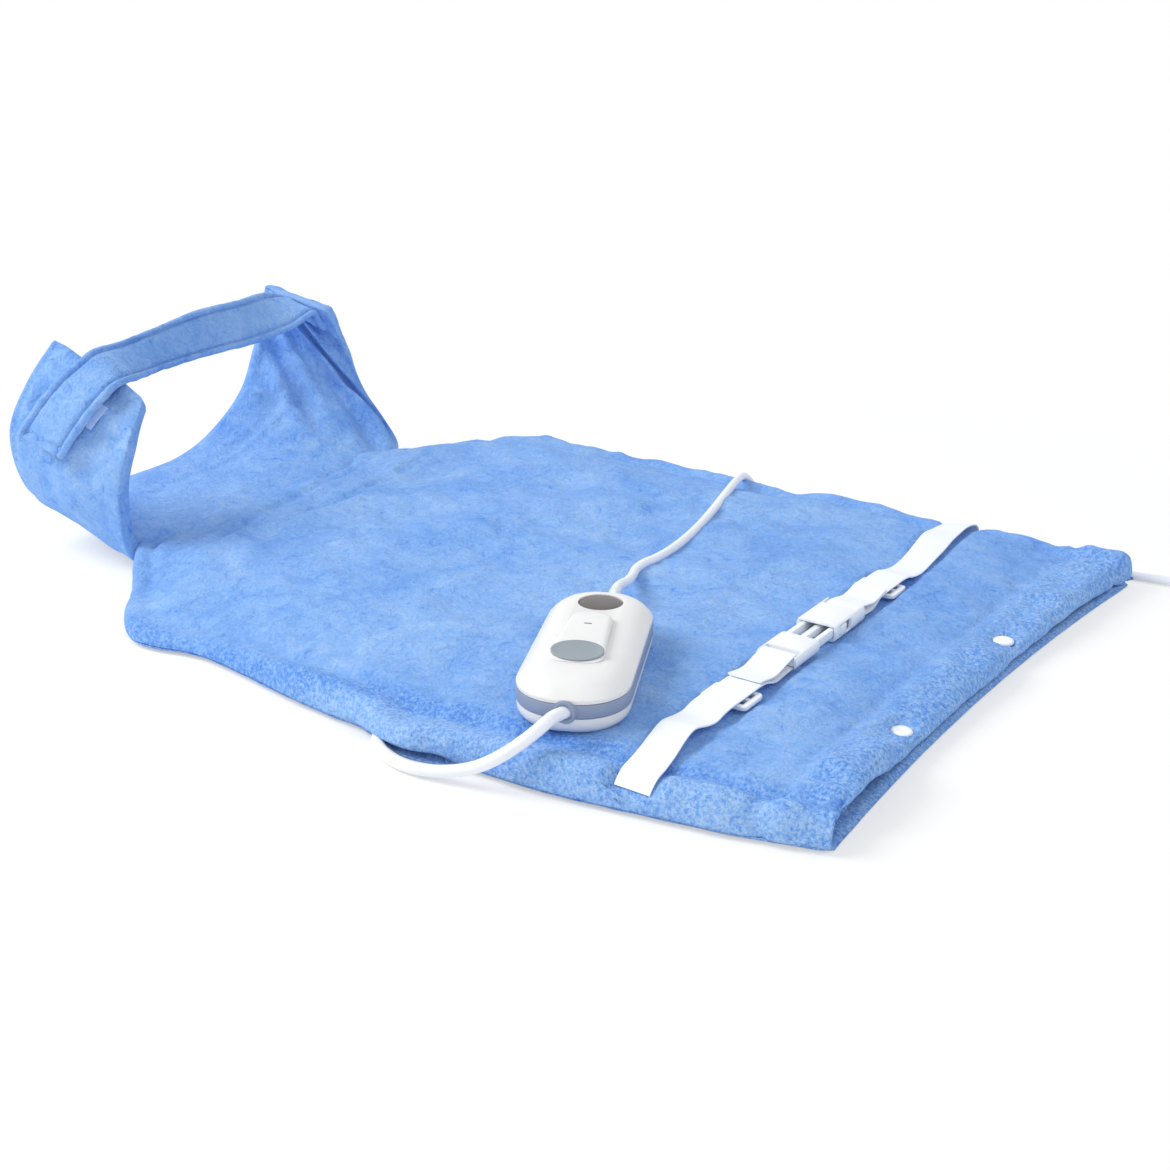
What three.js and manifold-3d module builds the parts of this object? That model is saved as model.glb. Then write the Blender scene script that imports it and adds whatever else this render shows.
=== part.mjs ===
// Neck-and-back heating pad with a corded hand controller, laid on a table with its collar closed.
// Millimetres, +Z up. The pad's hem end faces +X, its collar -X, and the waist belt runs along Y.
import * as THREE from 'three';
import { mergeVertices } from 'three/addons/utils/BufferGeometryUtils.js';
import Module from 'manifold-3d';

const wasm = await Module();
wasm.setup();

// Clearances
const GAP = 0.3;

// Pad cover: plan sizes. Its hem and shoulders are as wide as the insert and this room on each side
const HEM_ROOM = 22;
const SHOULDER_ROOM = 30;
const SIDE_BOW = 20;
const PAD_LENGTH = 455;
const SHOULDER_DEPTH = 85;
const NECK_WIDTH = 264;
const SHOULDER_ROUND = 6;

// How far each side stands out from its bow, at shares of the pad's length from the hem
const SIDE_EASE = [
  { share: 0, near: -4, far: 6 },
  { share: 0.13, near: 1, far: 5 },
  { share: 0.33, near: 5.5, far: -4 },
  { share: 0.6, near: -1, far: -2 },
  { share: 0.86, near: -8, far: 5 },
  { share: 1, near: 9, far: 9 },
  { share: 1.19, near: 4, far: 5 },
];

// Pad cover: heights and fabric
const BOTTOM_THICK = 3;
const COVER_THICK = 4.5;
const HEM_THICK = 6;
const EDGE_ROLL = 16;
const EDGE_HEIGHT = 13.7;
const CROWN = 3.2;
const HEM_SETBACK = 3;
const HEM_DRAWN = 8;
const HEM_CORNERS = { near: -4, far: 8 };
const HEM_BAND = 28;
const MOUTH_BLEND = 70;
const MOUTH_SNAP_HEIGHT = 14;
const MOUTH_BAYS = { near: 24, middle: 16.5, far: 19 };
const MOUTH_CORNERS = { near: 17, far: 16 };

// Broad soft folds of the cover: where each lies, its turn from the pad's length, and its size
const FOLDS = [
  { x: -440, y: 160, turn: 0, reach: 80, width: 60, rise: 6 },
  { x: -470, y: -60, turn: 70, reach: 90, width: 24, rise: 3.5 },
  { x: -405, y: -30, turn: 60, reach: 90, width: 24, rise: 3 },
  { x: -345, y: 60, turn: 75, reach: 100, width: 26, rise: 3 },
  { x: -330, y: -120, turn: 35, reach: 60, width: 26, rise: 2.5 },
];

// Snap fasteners on the hem
const SNAP_Y = { near: -86, far: 50 };
const SNAP_INSET = 9;
const SNAP_RADIUS = 6;
const SNAP_CAP_HEIGHT = 2.6;
const SNAP_SUNK = 1.4;
const SNAP_POST_RADIUS = 1.5;
const SNAP_STUD_PLATE = 1;
const SNAP_STUD_RADIUS = 2;

// Heating insert inside the cover
const INSERT_START = 75;
const INSERT_LENGTH = 350;
const INSERT_WIDTH = 360;
const INSERT_CORNER = 24;
const INSERT_LAYER = 2.6;
const WIRE_DIAMETER = 2.2;
const WIRE_PITCH = 30;
const WIRE_ROWS = 9;
const WIRE_END = 50;
const WIRE_RETURN = 17;
const WIRE_SIDES = 5;
const CUTOUT_ROW = 5;
const CUTOUT_SIZE = { x: 16, y: 8, z: 3.4 };
const JUNCTION_SIZE = { x: 26, y: 14, z: 7.4 };

// Lead entry in the pad's near edge
const LEAD_DIAMETER = 6.6;
const ENTRY_X = -250;
const ENTRY_Z = 8.2;
const ENTRY_TURN = 33;
const GROMMET_RADIUS = 4.5;
const GROMMET_LENGTH = 14;
const GROMMET_PROUD = 3;

// Collar: stations from the near wing's tip round the nape to the far wing's tip.
// Each pairs a point on the edge sewn to the pad with one on the neck edge, as shares of the sizes below,
// measured from the middle of the collar seam.
const COLLAR_THICK = 12;
const COLLAR_DEPTH = 100;
const COLLAR_SPREAD = 100;
const COLLAR_RISE = 100;
const COLLAR_STATIONS = [
  [[-0.03, -1.1, 1.08], [-0.86, -1.11, 1.39]],
  [[0.08, -1.32, 0.89], [-0.82, -1.38, 1.18]],
  [[0.05, -1.42, 0.56], [-0.94, -1.49, 0.83]],
  [[-0.04, -1.36, 0.12], [-0.99, -1.33, 0.38]],
  [[-0.008, -1.04, 0.16], [-0.97, -0.96, 0.26]],
  [[-0.008, -0.52, 0.16], [-0.95, -0.5, 0.245]],
  [[-0.008, 0, 0.16], [-0.94, -0.08, 0.28]],
  [[-0.008, 0.56, 0.16], [-0.95, 0.24, 0.395]],
  [[-0.01, 1.06, 0.17], [-0.94, 0.57, 0.65]],
  [[-0.1, 1.34, 0.25], [-1.04, 0.84, 0.92]],
  [[-0.33, 1.4, 0.58], [-1.08, 1.02, 1.18]],
  [[-0.49, 1.3, 0.98], [-1.11, 1.07, 1.29]],
  [[-0.51, 1.15, 1.24], [-1.11, 1.11, 1.36]],
];
const COLLAR_STEPS = 44;

// Collar strap with its hook-and-loop closure: free stations between the two wings
const STRAP_THICK = 5;
const STRAP_SEWN = { lower: 0.12, upper: 0.66, stations: [0.93, 0.955, 0.98] };
const STRAP_FREE = [
  [[-0.6, 0.84, 1.12], [-0.88, 0.84, 1.365]],
  [[-0.62, 0.48, 1.085], [-0.81, 0.52, 1.38]],
  [[-0.6, 0.02, 1.09], [-0.76, 0.08, 1.39]],
  [[-0.48, -0.48, 1.12], [-0.68, -0.42, 1.365]],
  [[-0.28, -0.92, 1.165], [-0.55, -0.88, 1.36]],
  [[-0.14, -1.165, 1.205], [-0.48, -1.16, 1.365]],
];
const STRAP_CLOSED = { from: 0.03, to: 0.15, lower: 0.22, upper: 0.63, drift: 0.2 };
const STRAP_STEPS = 30;
const LOOP_THICK = 1;
const HOOK_THICK = 1.2;
const PATCH_MARGIN = { along: 0.015, across: 0.04 };

// Waist belt and its hardware
const BELT_X = -100;
const WEB_WIDTH = 20;
const WEB_THICK = 1.4;
const BUCKLE_BASE_Z = 20.9;
const BUCKLE_WIDTH = 25.4;
const BUCKLE_THICK = 11;
const MOUTH_Y = -25;
const FEMALE_LENGTH = 37;
const SOCKET_DEPTH = 22;
const SOCKET_WIDTH = 20.8;
const SOCKET_HEIGHT = 6.6;
const MALE_BASE_LENGTH = 28;
const MALE_EXPOSED = 20;
const PRONG_DEPTH = 18;
const ARM_WIDTH = 3.2;
const ARM_PAD = 2.8;
const TONGUE_WIDTH = 4;
const BAR_DEPTH = 4;
const BAR_THICK = 4;
const WEB_SLOT = 5.4;
const ADJUSTER_Y = { near: -122, far: 58 };
const ADJUSTER_WIDTH = 28;
const ADJUSTER_THICK = 2.6;
const ADJUSTER_BAR = 3;
const ADJUSTER_SLOT = 5.5;
const ADJUSTER_Z = 22.5;

// Slack in the webbing between each adjuster and the pad's edge, as shares of these two sizes
const WAVE_REACH = 100;
const WAVE_RISE = 10;
const WAVE_NEAR = [[0.71, -0.17], [0.6, 0.15], [0.49, 0.35], [0.38, 0.19], [0.29, -0.05]];
const WAVE_FAR = [[1.35, -0.19], [1.19, 0.01], [1.02, 0.19], [0.82, 0.07], [0.6, -0.09]];

// Controller: place on the pad
const CASE_PLACE = { x: -174, y: -144.5, z: 20.7 };
const CASE_TURN = 114.3;

// Controller: case, in its own frame with +X towards the mains lead
const CASE_LENGTH = 133;
const CASE_NEAR_WIDTH = 59;
const CASE_FAR_WIDTH = 57;
const CASE_CORNER = 26;
const CASE_WALL = 2.2;
const BASE_HEIGHT = 11.5;
const BAND_HEIGHT = 7.4;
const LID_RIM = 2;
const LID_RISE = 8.4;
const LID_HOLLOW = 0.64;
const SCREW_X = 41;
const SCREW_Y = 18;
const SCREW_RADIUS = 1.4;
const SCREW_HEAD_RADIUS = 2.6;
const SCREW_HEAD_HEIGHT = 2;
const SCREW_LENGTH = 15;
const SCREW_SUNK = 0.4;
const POST_RADIUS = 3.6;

// Controller: display window and slide switch
const WINDOW_X = 40;
const WINDOW_SIZE = { x: 22.5, y: 24.5 };
const WINDOW_THICK = 1.6;
const SLIDER_FRONT = -40;
const SLIDER_BACK = 18;
const SLIDER_WIDTH = 30;
const SLIDER_HEIGHT = 5.8;
const SLIDER_CORNER = 6;
const SLIDER_TRAVEL = 12;
const TRACK_DEPTH = 1.8;
const TRACK_MARGIN = 1;
const GRIP_RAMP = 18;
const GRIP_DROP = 3.9;
const GRIP_SIZE = { x: 17, y: 27.6 };
const GRIP_THICK = 1.4;
const STEM_X = -6;
const STEM_SIZE = { x: 8, y: 4 };
const SWITCH_SIZE = { x: 30, y: 11, z: 5.5 };
const KNOB_SIZE = { x: 5, y: 3, z: 4 };

// Controller: circuit board
const BOARD_SIZE = { x: 92, y: 26, z: 1.6 };
const BOARD_Z = 5;
const LIGHT_RADIUS = 1.5;
const LIGHT_SPACING = 6;

// Cord fittings on the controller
const CORD_HEIGHT = 15.3;
const BUSH_RADIUS = 6;
const BUSH_LENGTH = 7;
const BUSH_PROUD = 1.2;
const BUSH_TURN = 35;
const RELIEF_LENGTH = 24;
const RELIEF_ROOT_RADIUS = 5;
const RELIEF_INSIDE = 5;

// Cords: routes of the free stretches, from the controller
const PAD_LEAD_ROUTE = [
  [-149.6, -219.4, 33.6],
  [-152.8, -225.4, 29.6],
  [-158.4, -231, 24],
  [-166.4, -235.6, 17.6],
  [-176, -239, 11.8],
  [-187, -241.8, 7.6],
  [-199, -244, 4.8],
  [-212, -245.6, 3.7],
  [-225, -245.4, 4.2],
  [-235.5, -242, 6],
];
const PAD_LEAD_STEPS = 16;
const MAINS_DIAMETER = 5.8;
const MAINS_ROUTE = [
  [-217.4, -46, 34.2],
  [-222, -31.6, 30.6],
  [-227.6, -14, 26.8],
  [-232.4, 4, 24.7],
  [-235.4, 22, 24.2],
  [-238, 46, 24.2],
  [-241.6, 74, 24.1],
  [-248.4, 108, 23.9],
  [-257.6, 143, 23.5],
  [-267, 175, 22.9],
  [-273.6, 202, 21.9],
  [-276.2, 216, 20.4],
  [-273.2, 227, 13.6],
  [-264.6, 235, 7.2],
  [-252, 237.8, 3.9],
  [-236, 237, 3.1],
  [-200, 234, 3],
  [-150, 230.8, 3],
  [-100, 226, 3],
  [-60, 221.6, 3],
  [-22, 218.2, 3],
  [6, 218.8, 3],
  [34, 222.4, 3.2],
  [66, 224.8, 3.8],
  [96, 225.2, 4.4],
];
const MAINS_STEPS = 52;
const COIL_START = { x: 122, y: 225.2 };
const COIL_RADIUS = 45;
const COIL_PITCH = 6.5;
const COIL_TURNS = { inward: 3.25, outward: 3 };
const COIL_LIFT = 1.5;
const COIL_STEPS = 24;
const COIL_SIDES = 6;
const TAIL_LENGTH = 36;
const TIE_ANGLE = 210;
const TIE_WIDTH = 9;
const TIE_THICK = 1;

// Mains plug
const PLUG_LENGTH = 34;
const PLUG_WIDTH = 26;
const PLUG_NECK = 11;
const PLUG_THICK = 13.6;
const PIN_RADIUS = 2;
const PIN_LENGTH = 19;
const PIN_SPACING = 18.6;

// Values that follow from the sizes above
const HEM_WIDTH = INSERT_WIDTH + 2 * HEM_ROOM;
const SHOULDER_WIDTH = INSERT_WIDTH + 2 * SHOULDER_ROOM;
const NECK_X = -(PAD_LENGTH + SHOULDER_DEPTH);
const RIM_Z = BOTTOM_THICK + GAP;
const CASE_TOP = BASE_HEIGHT + BAND_HEIGHT + 2 * GAP + LID_RIM + LID_RISE;
const BAND_Z = BASE_HEIGHT + GAP;
const LID_Z = BAND_Z + BAND_HEIGHT + GAP;
const TRACK_Z = CASE_TOP - TRACK_DEPTH;
const COIL_MIDDLE_Y = COIL_START.y - COIL_RADIUS;
const BOARD_TOP = BOARD_Z + BOARD_SIZE.z;
const WINDOW_BASE = CASE_TOP - 2;
const BUCKLE_MIDDLE = BUCKLE_BASE_Z + BUCKLE_THICK / 2;
const BAR_BASE = BUCKLE_MIDDLE - BAR_THICK / 2;
const BAR_TOP = BUCKLE_MIDDLE + BAR_THICK / 2;
const degrees = THREE.MathUtils.degToRad;

// Meshes and booleans

function solid(geometry) {
  const bare = geometry.clone();
  bare.deleteAttribute('normal');
  bare.deleteAttribute('uv');
  const merged = mergeVertices(bare, 1e-4);
  return new wasm.Manifold(new wasm.Mesh({
    numProp: 3,
    vertProperties: new Float32Array(merged.attributes.position.array),
    triVerts: new Uint32Array(merged.index.array),
  }));
}

function geometryOf(manifold) {
  const mesh = manifold.getMesh();
  const geometry = new THREE.BufferGeometry();
  geometry.setAttribute('position', new THREE.BufferAttribute(new Float32Array(mesh.vertProperties), 3));
  geometry.setIndex(new THREE.BufferAttribute(new Uint32Array(mesh.triVerts), 1));
  return geometry;
}

function cut(geometry, ...tools) {
  return geometryOf(tools.reduce((body, tool) => body.subtract(solid(tool)), solid(geometry)));
}

function join(geometry, ...others) {
  return geometryOf(others.reduce((body, other) => body.add(solid(other)), solid(geometry)));
}

function common(geometry, other) {
  return geometryOf(solid(geometry).intersect(solid(other)));
}

function flipped(triangles) {
  return triangles.map(([a, b, c]) => [a, c, b]);
}

function volumeOf(points, triangles) {
  let sum = 0;
  for (const [a, b, c] of triangles) {
    sum += points[a].dot(new THREE.Vector3().crossVectors(points[b], points[c]));
  }
  return sum / 6;
}

// Joins rings of equal length into one closed body. flat turns an end ring's points into a plane.
function loft(rings, flat, closed = false) {
  const count = rings[0].length;
  const points = rings.flat();
  let triangles = [];
  const last = closed ? rings.length : rings.length - 1;
  for (let r = 0; r < last; r += 1) {
    const next = (r + 1) % rings.length;
    for (let k = 0; k < count; k += 1) {
      const a = r * count + k;
      const b = r * count + ((k + 1) % count);
      const c = next * count + ((k + 1) % count);
      const d = next * count + k;
      triangles.push([a, b, c], [a, c, d]);
    }
  }
  if (!closed) {
    for (const end of [0, rings.length - 1]) {
      const faces = THREE.ShapeUtils.triangulateShape(rings[end].map(flat), []);
      const start = end * count;
      const cap = faces.map((face) => face.map((k) => k + start));
      const area = THREE.ShapeUtils.area(rings[end].map(flat));
      const reversed = (area > 0) === (end === 0);
      triangles.push(...(reversed ? flipped(cap) : cap));
    }
  }
  if (volumeOf(points, triangles) < 0) {
    triangles = flipped(triangles);
  }
  const geometry = new THREE.BufferGeometry().setFromPoints(points);
  geometry.setIndex(triangles.flat());
  return geometry;
}

function box(low, high) {
  const size = high.map((value, axis) => value - low[axis]);
  const middle = high.map((value, axis) => (value + low[axis]) / 2);
  return new THREE.BoxGeometry(...size).translate(...middle);
}

function rod(radius, length, axis, sides = 16) {
  const geometry = new THREE.CylinderGeometry(radius, radius, length, sides);
  if (axis === 'x') {
    geometry.rotateZ(Math.PI / 2);
  }
  if (axis === 'z') {
    geometry.rotateX(Math.PI / 2);
  }
  return geometry;
}

function turned(profile, sides = 16) {
  const points = profile.map(([radius, height]) => new THREE.Vector2(radius, height));
  return new THREE.LatheGeometry(points, sides).rotateX(Math.PI / 2);
}

function roundedRing(halfX, halfY, radius, steps = 4) {
  const corners = [[1, 1, 0], [-1, 1, 90], [-1, -1, 180], [1, -1, 270]];
  return corners.flatMap(([sx, sy, start]) => Array.from({ length: steps + 1 }, (_, k) => {
    const angle = degrees(start + (90 * k) / steps);
    const x = sx * (halfX - radius) + radius * Math.cos(angle);
    const y = sy * (halfY - radius) + radius * Math.sin(angle);
    return new THREE.Vector2(x, y);
  }));
}

function prism(outline, z0, z1) {
  const shape = new THREE.Shape(outline);
  return new THREE.ExtrudeGeometry(shape, { depth: z1 - z0, bevelEnabled: false }).translate(0, 0, z0);
}

function ellipseRing(halfX, halfY, sides = 28) {
  return Array.from({ length: sides }, (_, k) => {
    const angle = (2 * Math.PI * k) / sides;
    return new THREE.Vector2(halfX * Math.cos(angle), halfY * Math.sin(angle));
  });
}

const vectors = (list) => list.map((point) => new THREE.Vector3(...point));

// A tube whose rings follow the points one by one, for wires and coils
function tubeAlong(points, radius, sides) {
  const up = new THREE.Vector3(0, 0, 1);
  const rings = points.map((point, index) => {
    const before = points[Math.max(index - 1, 0)];
    const after = points[Math.min(index + 1, points.length - 1)];
    const along = new THREE.Vector3().subVectors(after, before).normalize();
    const across = new THREE.Vector3().crossVectors(along, up).normalize();
    const rise = new THREE.Vector3().crossVectors(across, along);
    return Array.from({ length: sides }, (_, k) => {
      const angle = (2 * Math.PI * (k + 0.5)) / sides;
      return point.clone()
        .addScaledVector(across, radius * Math.cos(angle))
        .addScaledVector(rise, radius * Math.sin(angle));
    });
  });
  const section = Array.from({ length: sides }, (_, k) => {
    const angle = (2 * Math.PI * (k + 0.5)) / sides;
    return new THREE.Vector2(Math.cos(angle), Math.sin(angle));
  });
  return loft(rings, (_, k) => section[k]);
}

// A free cord: a round section drawn along a smooth route
function cordAlong(route, diameter, sides, steps) {
  const section = new THREE.Shape(ellipseRing(diameter / 2, diameter / 2, sides));
  const extrudePath = new THREE.CatmullRomCurve3(route, false, 'centripetal');
  return new THREE.ExtrudeGeometry(section, { steps, bevelEnabled: false, extrudePath });
}

// The part

const part = new THREE.Group();
const object = new THREE.Group();
const cords = new THREE.Group();
const controller = new THREE.Group();
object.add(controller);
part.add(object, cords);

function add(parent, name, geometry, finish) {
  const material = new THREE.MeshStandardMaterial(finish);
  const mesh = new THREE.Mesh(geometry, material);
  mesh.name = name;
  parent.add(mesh);
}

const PLUSH = { color: 0x6ea3ea, roughness: 0.95, metalness: 0 };
const FELT = { color: 0xe9e4d8, roughness: 0.95, metalness: 0 };
const SILICONE = { color: 0xd8dde2, roughness: 0.6, metalness: 0 };
const WEBBING = { color: 0xf1f4fa, roughness: 0.8, metalness: 0 };
const BUCKLE_WHITE = { color: 0xf4f6f8, roughness: 0.35, metalness: 0 };
const CASE_WHITE = { color: 0xf0f0ee, roughness: 0.35, metalness: 0 };
const BAND_BLUE = { color: 0x8494b4, roughness: 0.5, metalness: 0 };
const LENS_DARK = { color: 0x5a5350, roughness: 0.15, metalness: 0 };
const GRIP_GREY = { color: 0x9aa3a9, roughness: 0.5, metalness: 0 };
const CORD_WHITE = { color: 0xeef0f4, roughness: 0.45, metalness: 0 };
const BOARD_GREEN = { color: 0x2e6b45, roughness: 0.6, metalness: 0 };
const PART_BLACK = { color: 0x26282b, roughness: 0.5, metalness: 0 };
const STEEL = { color: 0xb9bdc2, roughness: 0.3, metalness: 1 };
const LIGHT_AMBER = { color: 0xe0a040, roughness: 0.2, metalness: 0 };

const wave = (from, to, t) => THREE.MathUtils.lerp(from, to, (1 - Math.cos(Math.PI * t)) / 2);

function sideEase(x, side) {
  const share = THREE.MathUtils.clamp(-x / PAD_LENGTH, 0, SIDE_EASE[SIDE_EASE.length - 1].share);
  const next = Math.max(1, SIDE_EASE.findIndex((mark) => share <= mark.share));
  const [a, b] = [SIDE_EASE[next - 1], SIDE_EASE[next]];
  const edge = side < 0 ? 'near' : 'far';
  return wave(a[edge], b[edge], (share - a.share) / (b.share - a.share));
}

// Pad outline on the side of y: bowed sides, then shoulders that run in to the collar seam
function halfWidth(x, y) {
  const t = Math.min(-x / PAD_LENGTH, 1);
  const side = THREE.MathUtils.lerp(HEM_WIDTH, SHOULDER_WIDTH, t) / 2 + SIDE_BOW * 4 * t * (1 - t);
  const slope = (SHOULDER_WIDTH - NECK_WIDTH) / 2 / SHOULDER_DEPTH;
  const shoulder = NECK_WIDTH / 2 + slope * (x - NECK_X);
  const soft = Math.log(Math.exp(-side / SHOULDER_ROUND) + Math.exp(-shoulder / SHOULDER_ROUND));
  return sideEase(x, y) - SHOULDER_ROUND * soft;
}

// The hem is drawn in between its corners. The cover follows it, less and less, as far as the mouth reaches
function hemLine(y) {
  const v = (2 * y) / HEM_WIDTH;
  const { near, far } = HEM_CORNERS;
  return -HEM_DRAWN + ((far - near) / 2) * v + ((far + near) / 2 + HEM_DRAWN) * v * v;
}

function hemShift(x, y) {
  return hemLine(y) * THREE.MathUtils.smoothstep(x, -MOUTH_BLEND, -HEM_SETBACK);
}

function foldHeight(x, y) {
  return FOLDS.reduce((sum, fold) => {
    const [c, s] = [Math.cos(degrees(fold.turn)), Math.sin(degrees(fold.turn))];
    const along = (c * (x - fold.x) + s * (y - fold.y)) / fold.reach;
    const across = (c * (y - fold.y) - s * (x - fold.x)) / fold.width;
    return sum + fold.rise * Math.exp(-along * along - across * across);
  }, 0);
}

// Height of the hem's top edge: it dips where a snap holds it to the bottom layer
function mouthHeight(y) {
  const side = HEM_WIDTH / 2;
  const marks = [
    [-side, MOUTH_CORNERS.near],
    [(SNAP_Y.near - side) / 2, MOUTH_BAYS.near],
    [SNAP_Y.near, MOUTH_SNAP_HEIGHT],
    [(SNAP_Y.near + SNAP_Y.far) / 2, MOUTH_BAYS.middle],
    [SNAP_Y.far, MOUTH_SNAP_HEIGHT],
    [(SNAP_Y.far + side) / 2, MOUTH_BAYS.far],
    [side, MOUTH_CORNERS.far],
  ];
  const next = Math.max(1, marks.findIndex(([place]) => y < place));
  const last = y >= side ? marks.length - 1 : next;
  const [y0, z0] = marks[last - 1];
  const [y1, z1] = marks[last];
  return wave(z0, z1, THREE.MathUtils.clamp((y - y0) / (y1 - y0), 0, 1));
}

// Height of the cover's outer skin, or of a skin that lies thick below it
function coverHeight(x, y, thick = 0) {
  const half = halfWidth(x, y) - thick;
  const edge = THREE.MathUtils.clamp((half - Math.abs(y)) / EDGE_ROLL, 0, 1);
  const roll = Math.sqrt(1 - (1 - edge) ** 2);
  const flat = EDGE_HEIGHT - thick + CROWN * (1 - (y / half) ** 4) + foldHeight(x, y);
  const mouth = mouthHeight(y) - RIM_Z - thick;
  const open = THREE.MathUtils.smoothstep(x, -MOUTH_BLEND, -HEM_SETBACK);
  return RIM_Z + roll * THREE.MathUtils.lerp(flat, mouth, open);
}

function coverThickness(x) {
  const hem = THREE.MathUtils.smoothstep(x, -HEM_BAND - HEM_SETBACK - 4, -HEM_BAND - HEM_SETBACK);
  return THREE.MathUtils.lerp(COVER_THICK, HEM_THICK, hem);
}

function coverArc(x, thick) {
  const [near, far] = [-1, 1].map((side) => side * (halfWidth(x, side) - thick));
  const rolled = [0, 0.08, 0.26, 0.56, 1].map((share) => share * EDGE_ROLL);
  const level = [0.07, 0.13, 0.2, 0.27, 0.34, 0.41, 0.48, 0.55, 0.61, 0.68, 0.75, 0.82, 0.88, 0.94];
  const places = [
    ...rolled.map((inset) => near + inset),
    ...level.map((share) => THREE.MathUtils.lerp(near + EDGE_ROLL, far - EDGE_ROLL, share)),
    ...rolled.reverse().map((inset) => far - inset),
  ];
  return places.map((y) => new THREE.Vector3(x + hemShift(x, y), y, coverHeight(x, y, thick)));
}

function stationsAlongPad() {
  const hem = [0, 0.3, 0.6, 0.9, 1.05].map((share) => -HEM_SETBACK - share * HEM_BAND);
  const bodyStart = -MOUTH_BLEND;
  const bodyEnd = -PAD_LENGTH + 3 * SHOULDER_ROUND;
  const body = Array.from({ length: 16 }, (_, k) => THREE.MathUtils.lerp(bodyStart, bodyEnd, k / 15));
  const shoulder = [0.16, 0.32, 0.5, 0.74, 1].map((share) => THREE.MathUtils.lerp(bodyEnd, NECK_X, share));
  return [...hem, ...body, ...shoulder];
}

const flatYZ = (point) => new THREE.Vector2(point.y, point.z);

function coverTop() {
  const rings = stationsAlongPad().map((x) => {
    const outer = coverArc(x, 0);
    const inner = coverArc(x, coverThickness(x));
    return [...outer, ...inner.reverse()];
  });
  return loft(rings, flatYZ);
}

function snapStack(y) {
  const inset = -HEM_SETBACK - SNAP_INSET;
  const top = coverHeight(inset, y);
  const under = coverHeight(inset, y, coverThickness(inset));
  return { x: inset + hemShift(inset, y), seat: top - SNAP_SUNK, under };
}

// The pad lead goes in through the near edge at a slant; places are measured inwards from the edge
function entryPoint(depth) {
  const turn = degrees(ENTRY_TURN);
  const x = ENTRY_X - depth * Math.sin(turn);
  return new THREE.Vector3(x, -halfWidth(ENTRY_X, -1) + depth * Math.cos(turn), ENTRY_Z);
}

function entryRod(radius, from, to, sides = 16) {
  const middle = entryPoint((from + to) / 2);
  const geometry = rod(radius, to - from, 'y', sides).rotateZ(degrees(ENTRY_TURN));
  return geometry.translate(middle.x, middle.y, middle.z);
}

function buildCover() {
  const holes = Object.values(SNAP_Y).flatMap((y) => {
    const { x, seat } = snapStack(y);
    const pocket = rod(SNAP_RADIUS + GAP, HEM_THICK, 'z', 20);
    const post = rod(SNAP_POST_RADIUS + GAP, 4 * HEM_THICK, 'z', 10);
    return [
      pocket.translate(x, y, seat - GAP + HEM_THICK / 2),
      post.translate(x, y, seat),
    ];
  });
  const entry = entryRod(GROMMET_RADIUS + GAP, -EDGE_ROLL, EDGE_ROLL);
  add(object, 'cover_top_panel', cut(coverTop(), ...holes, entry), PLUSH);

  const edges = [-1, 1].map((side) => [0, ...stationsAlongPad()].map((x) => {
    const y = side * (halfWidth(x, side) - GAP);
    return new THREE.Vector2(x + hemShift(x, y), y);
  }));
  const hem = [-0.75, -0.5, -0.25, 0, 0.25, 0.5, 0.75].map((share) => {
    const y = (share * HEM_WIDTH) / 2;
    return new THREE.Vector2(hemLine(y), y);
  });
  const outline = [...edges[1], ...edges[0].reverse(), ...hem];
  add(object, 'cover_bottom_panel', prism(outline, 0, BOTTOM_THICK), PLUSH);
}

function buildSnaps() {
  for (const [side, y] of Object.entries(SNAP_Y)) {
    const { x, seat, under } = snapStack(y);
    const socketTop = under - GAP;
    const studBase = RIM_Z;
    const studPlate = studBase + SNAP_STUD_PLATE;
    const socketBase = studPlate + GAP;
    const studTop = socketTop - SNAP_STUD_PLATE;
    const cap = turned([
      [0, socketTop + GAP - seat],
      [SNAP_POST_RADIUS, socketTop + GAP - seat],
      [SNAP_POST_RADIUS, 0],
      [SNAP_RADIUS, 0],
      [SNAP_RADIUS, SNAP_CAP_HEIGHT * 0.35],
      [SNAP_RADIUS * 0.8, SNAP_CAP_HEIGHT * 0.85],
      [SNAP_RADIUS * 0.35, SNAP_CAP_HEIGHT],
      [0, SNAP_CAP_HEIGHT],
    ], 14);
    const socket = turned([
      [SNAP_STUD_RADIUS + GAP, socketBase],
      [SNAP_RADIUS - 0.6, socketBase],
      [SNAP_RADIUS - 0.6, socketTop],
      [0, socketTop],
      [0, studTop + GAP],
      [SNAP_STUD_RADIUS + GAP, studTop + GAP],
      [SNAP_STUD_RADIUS + GAP, socketBase],
    ], 12);
    const stud = turned([
      [0, studBase],
      [SNAP_RADIUS - 0.6, studBase],
      [SNAP_RADIUS - 0.6, studPlate],
      [SNAP_STUD_RADIUS, studPlate],
      [SNAP_STUD_RADIUS, studTop],
      [0, studTop],
    ], 12);
    add(object, `snap_cap_${side}`, cap.translate(x, y, seat), BUCKLE_WHITE);
    add(object, `snap_socket_${side}`, socket.translate(x, y, 0), BUCKLE_WHITE);
    add(object, `snap_stud_${side}`, stud.translate(x, y, 0), BUCKLE_WHITE);
  }
}

// Heating insert: two felt layers with a serpentine wire, a cut-out and a lead junction between them

function firstRow() {
  return -(INSERT_WIDTH / 2 - WIRE_PITCH);
}

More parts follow.
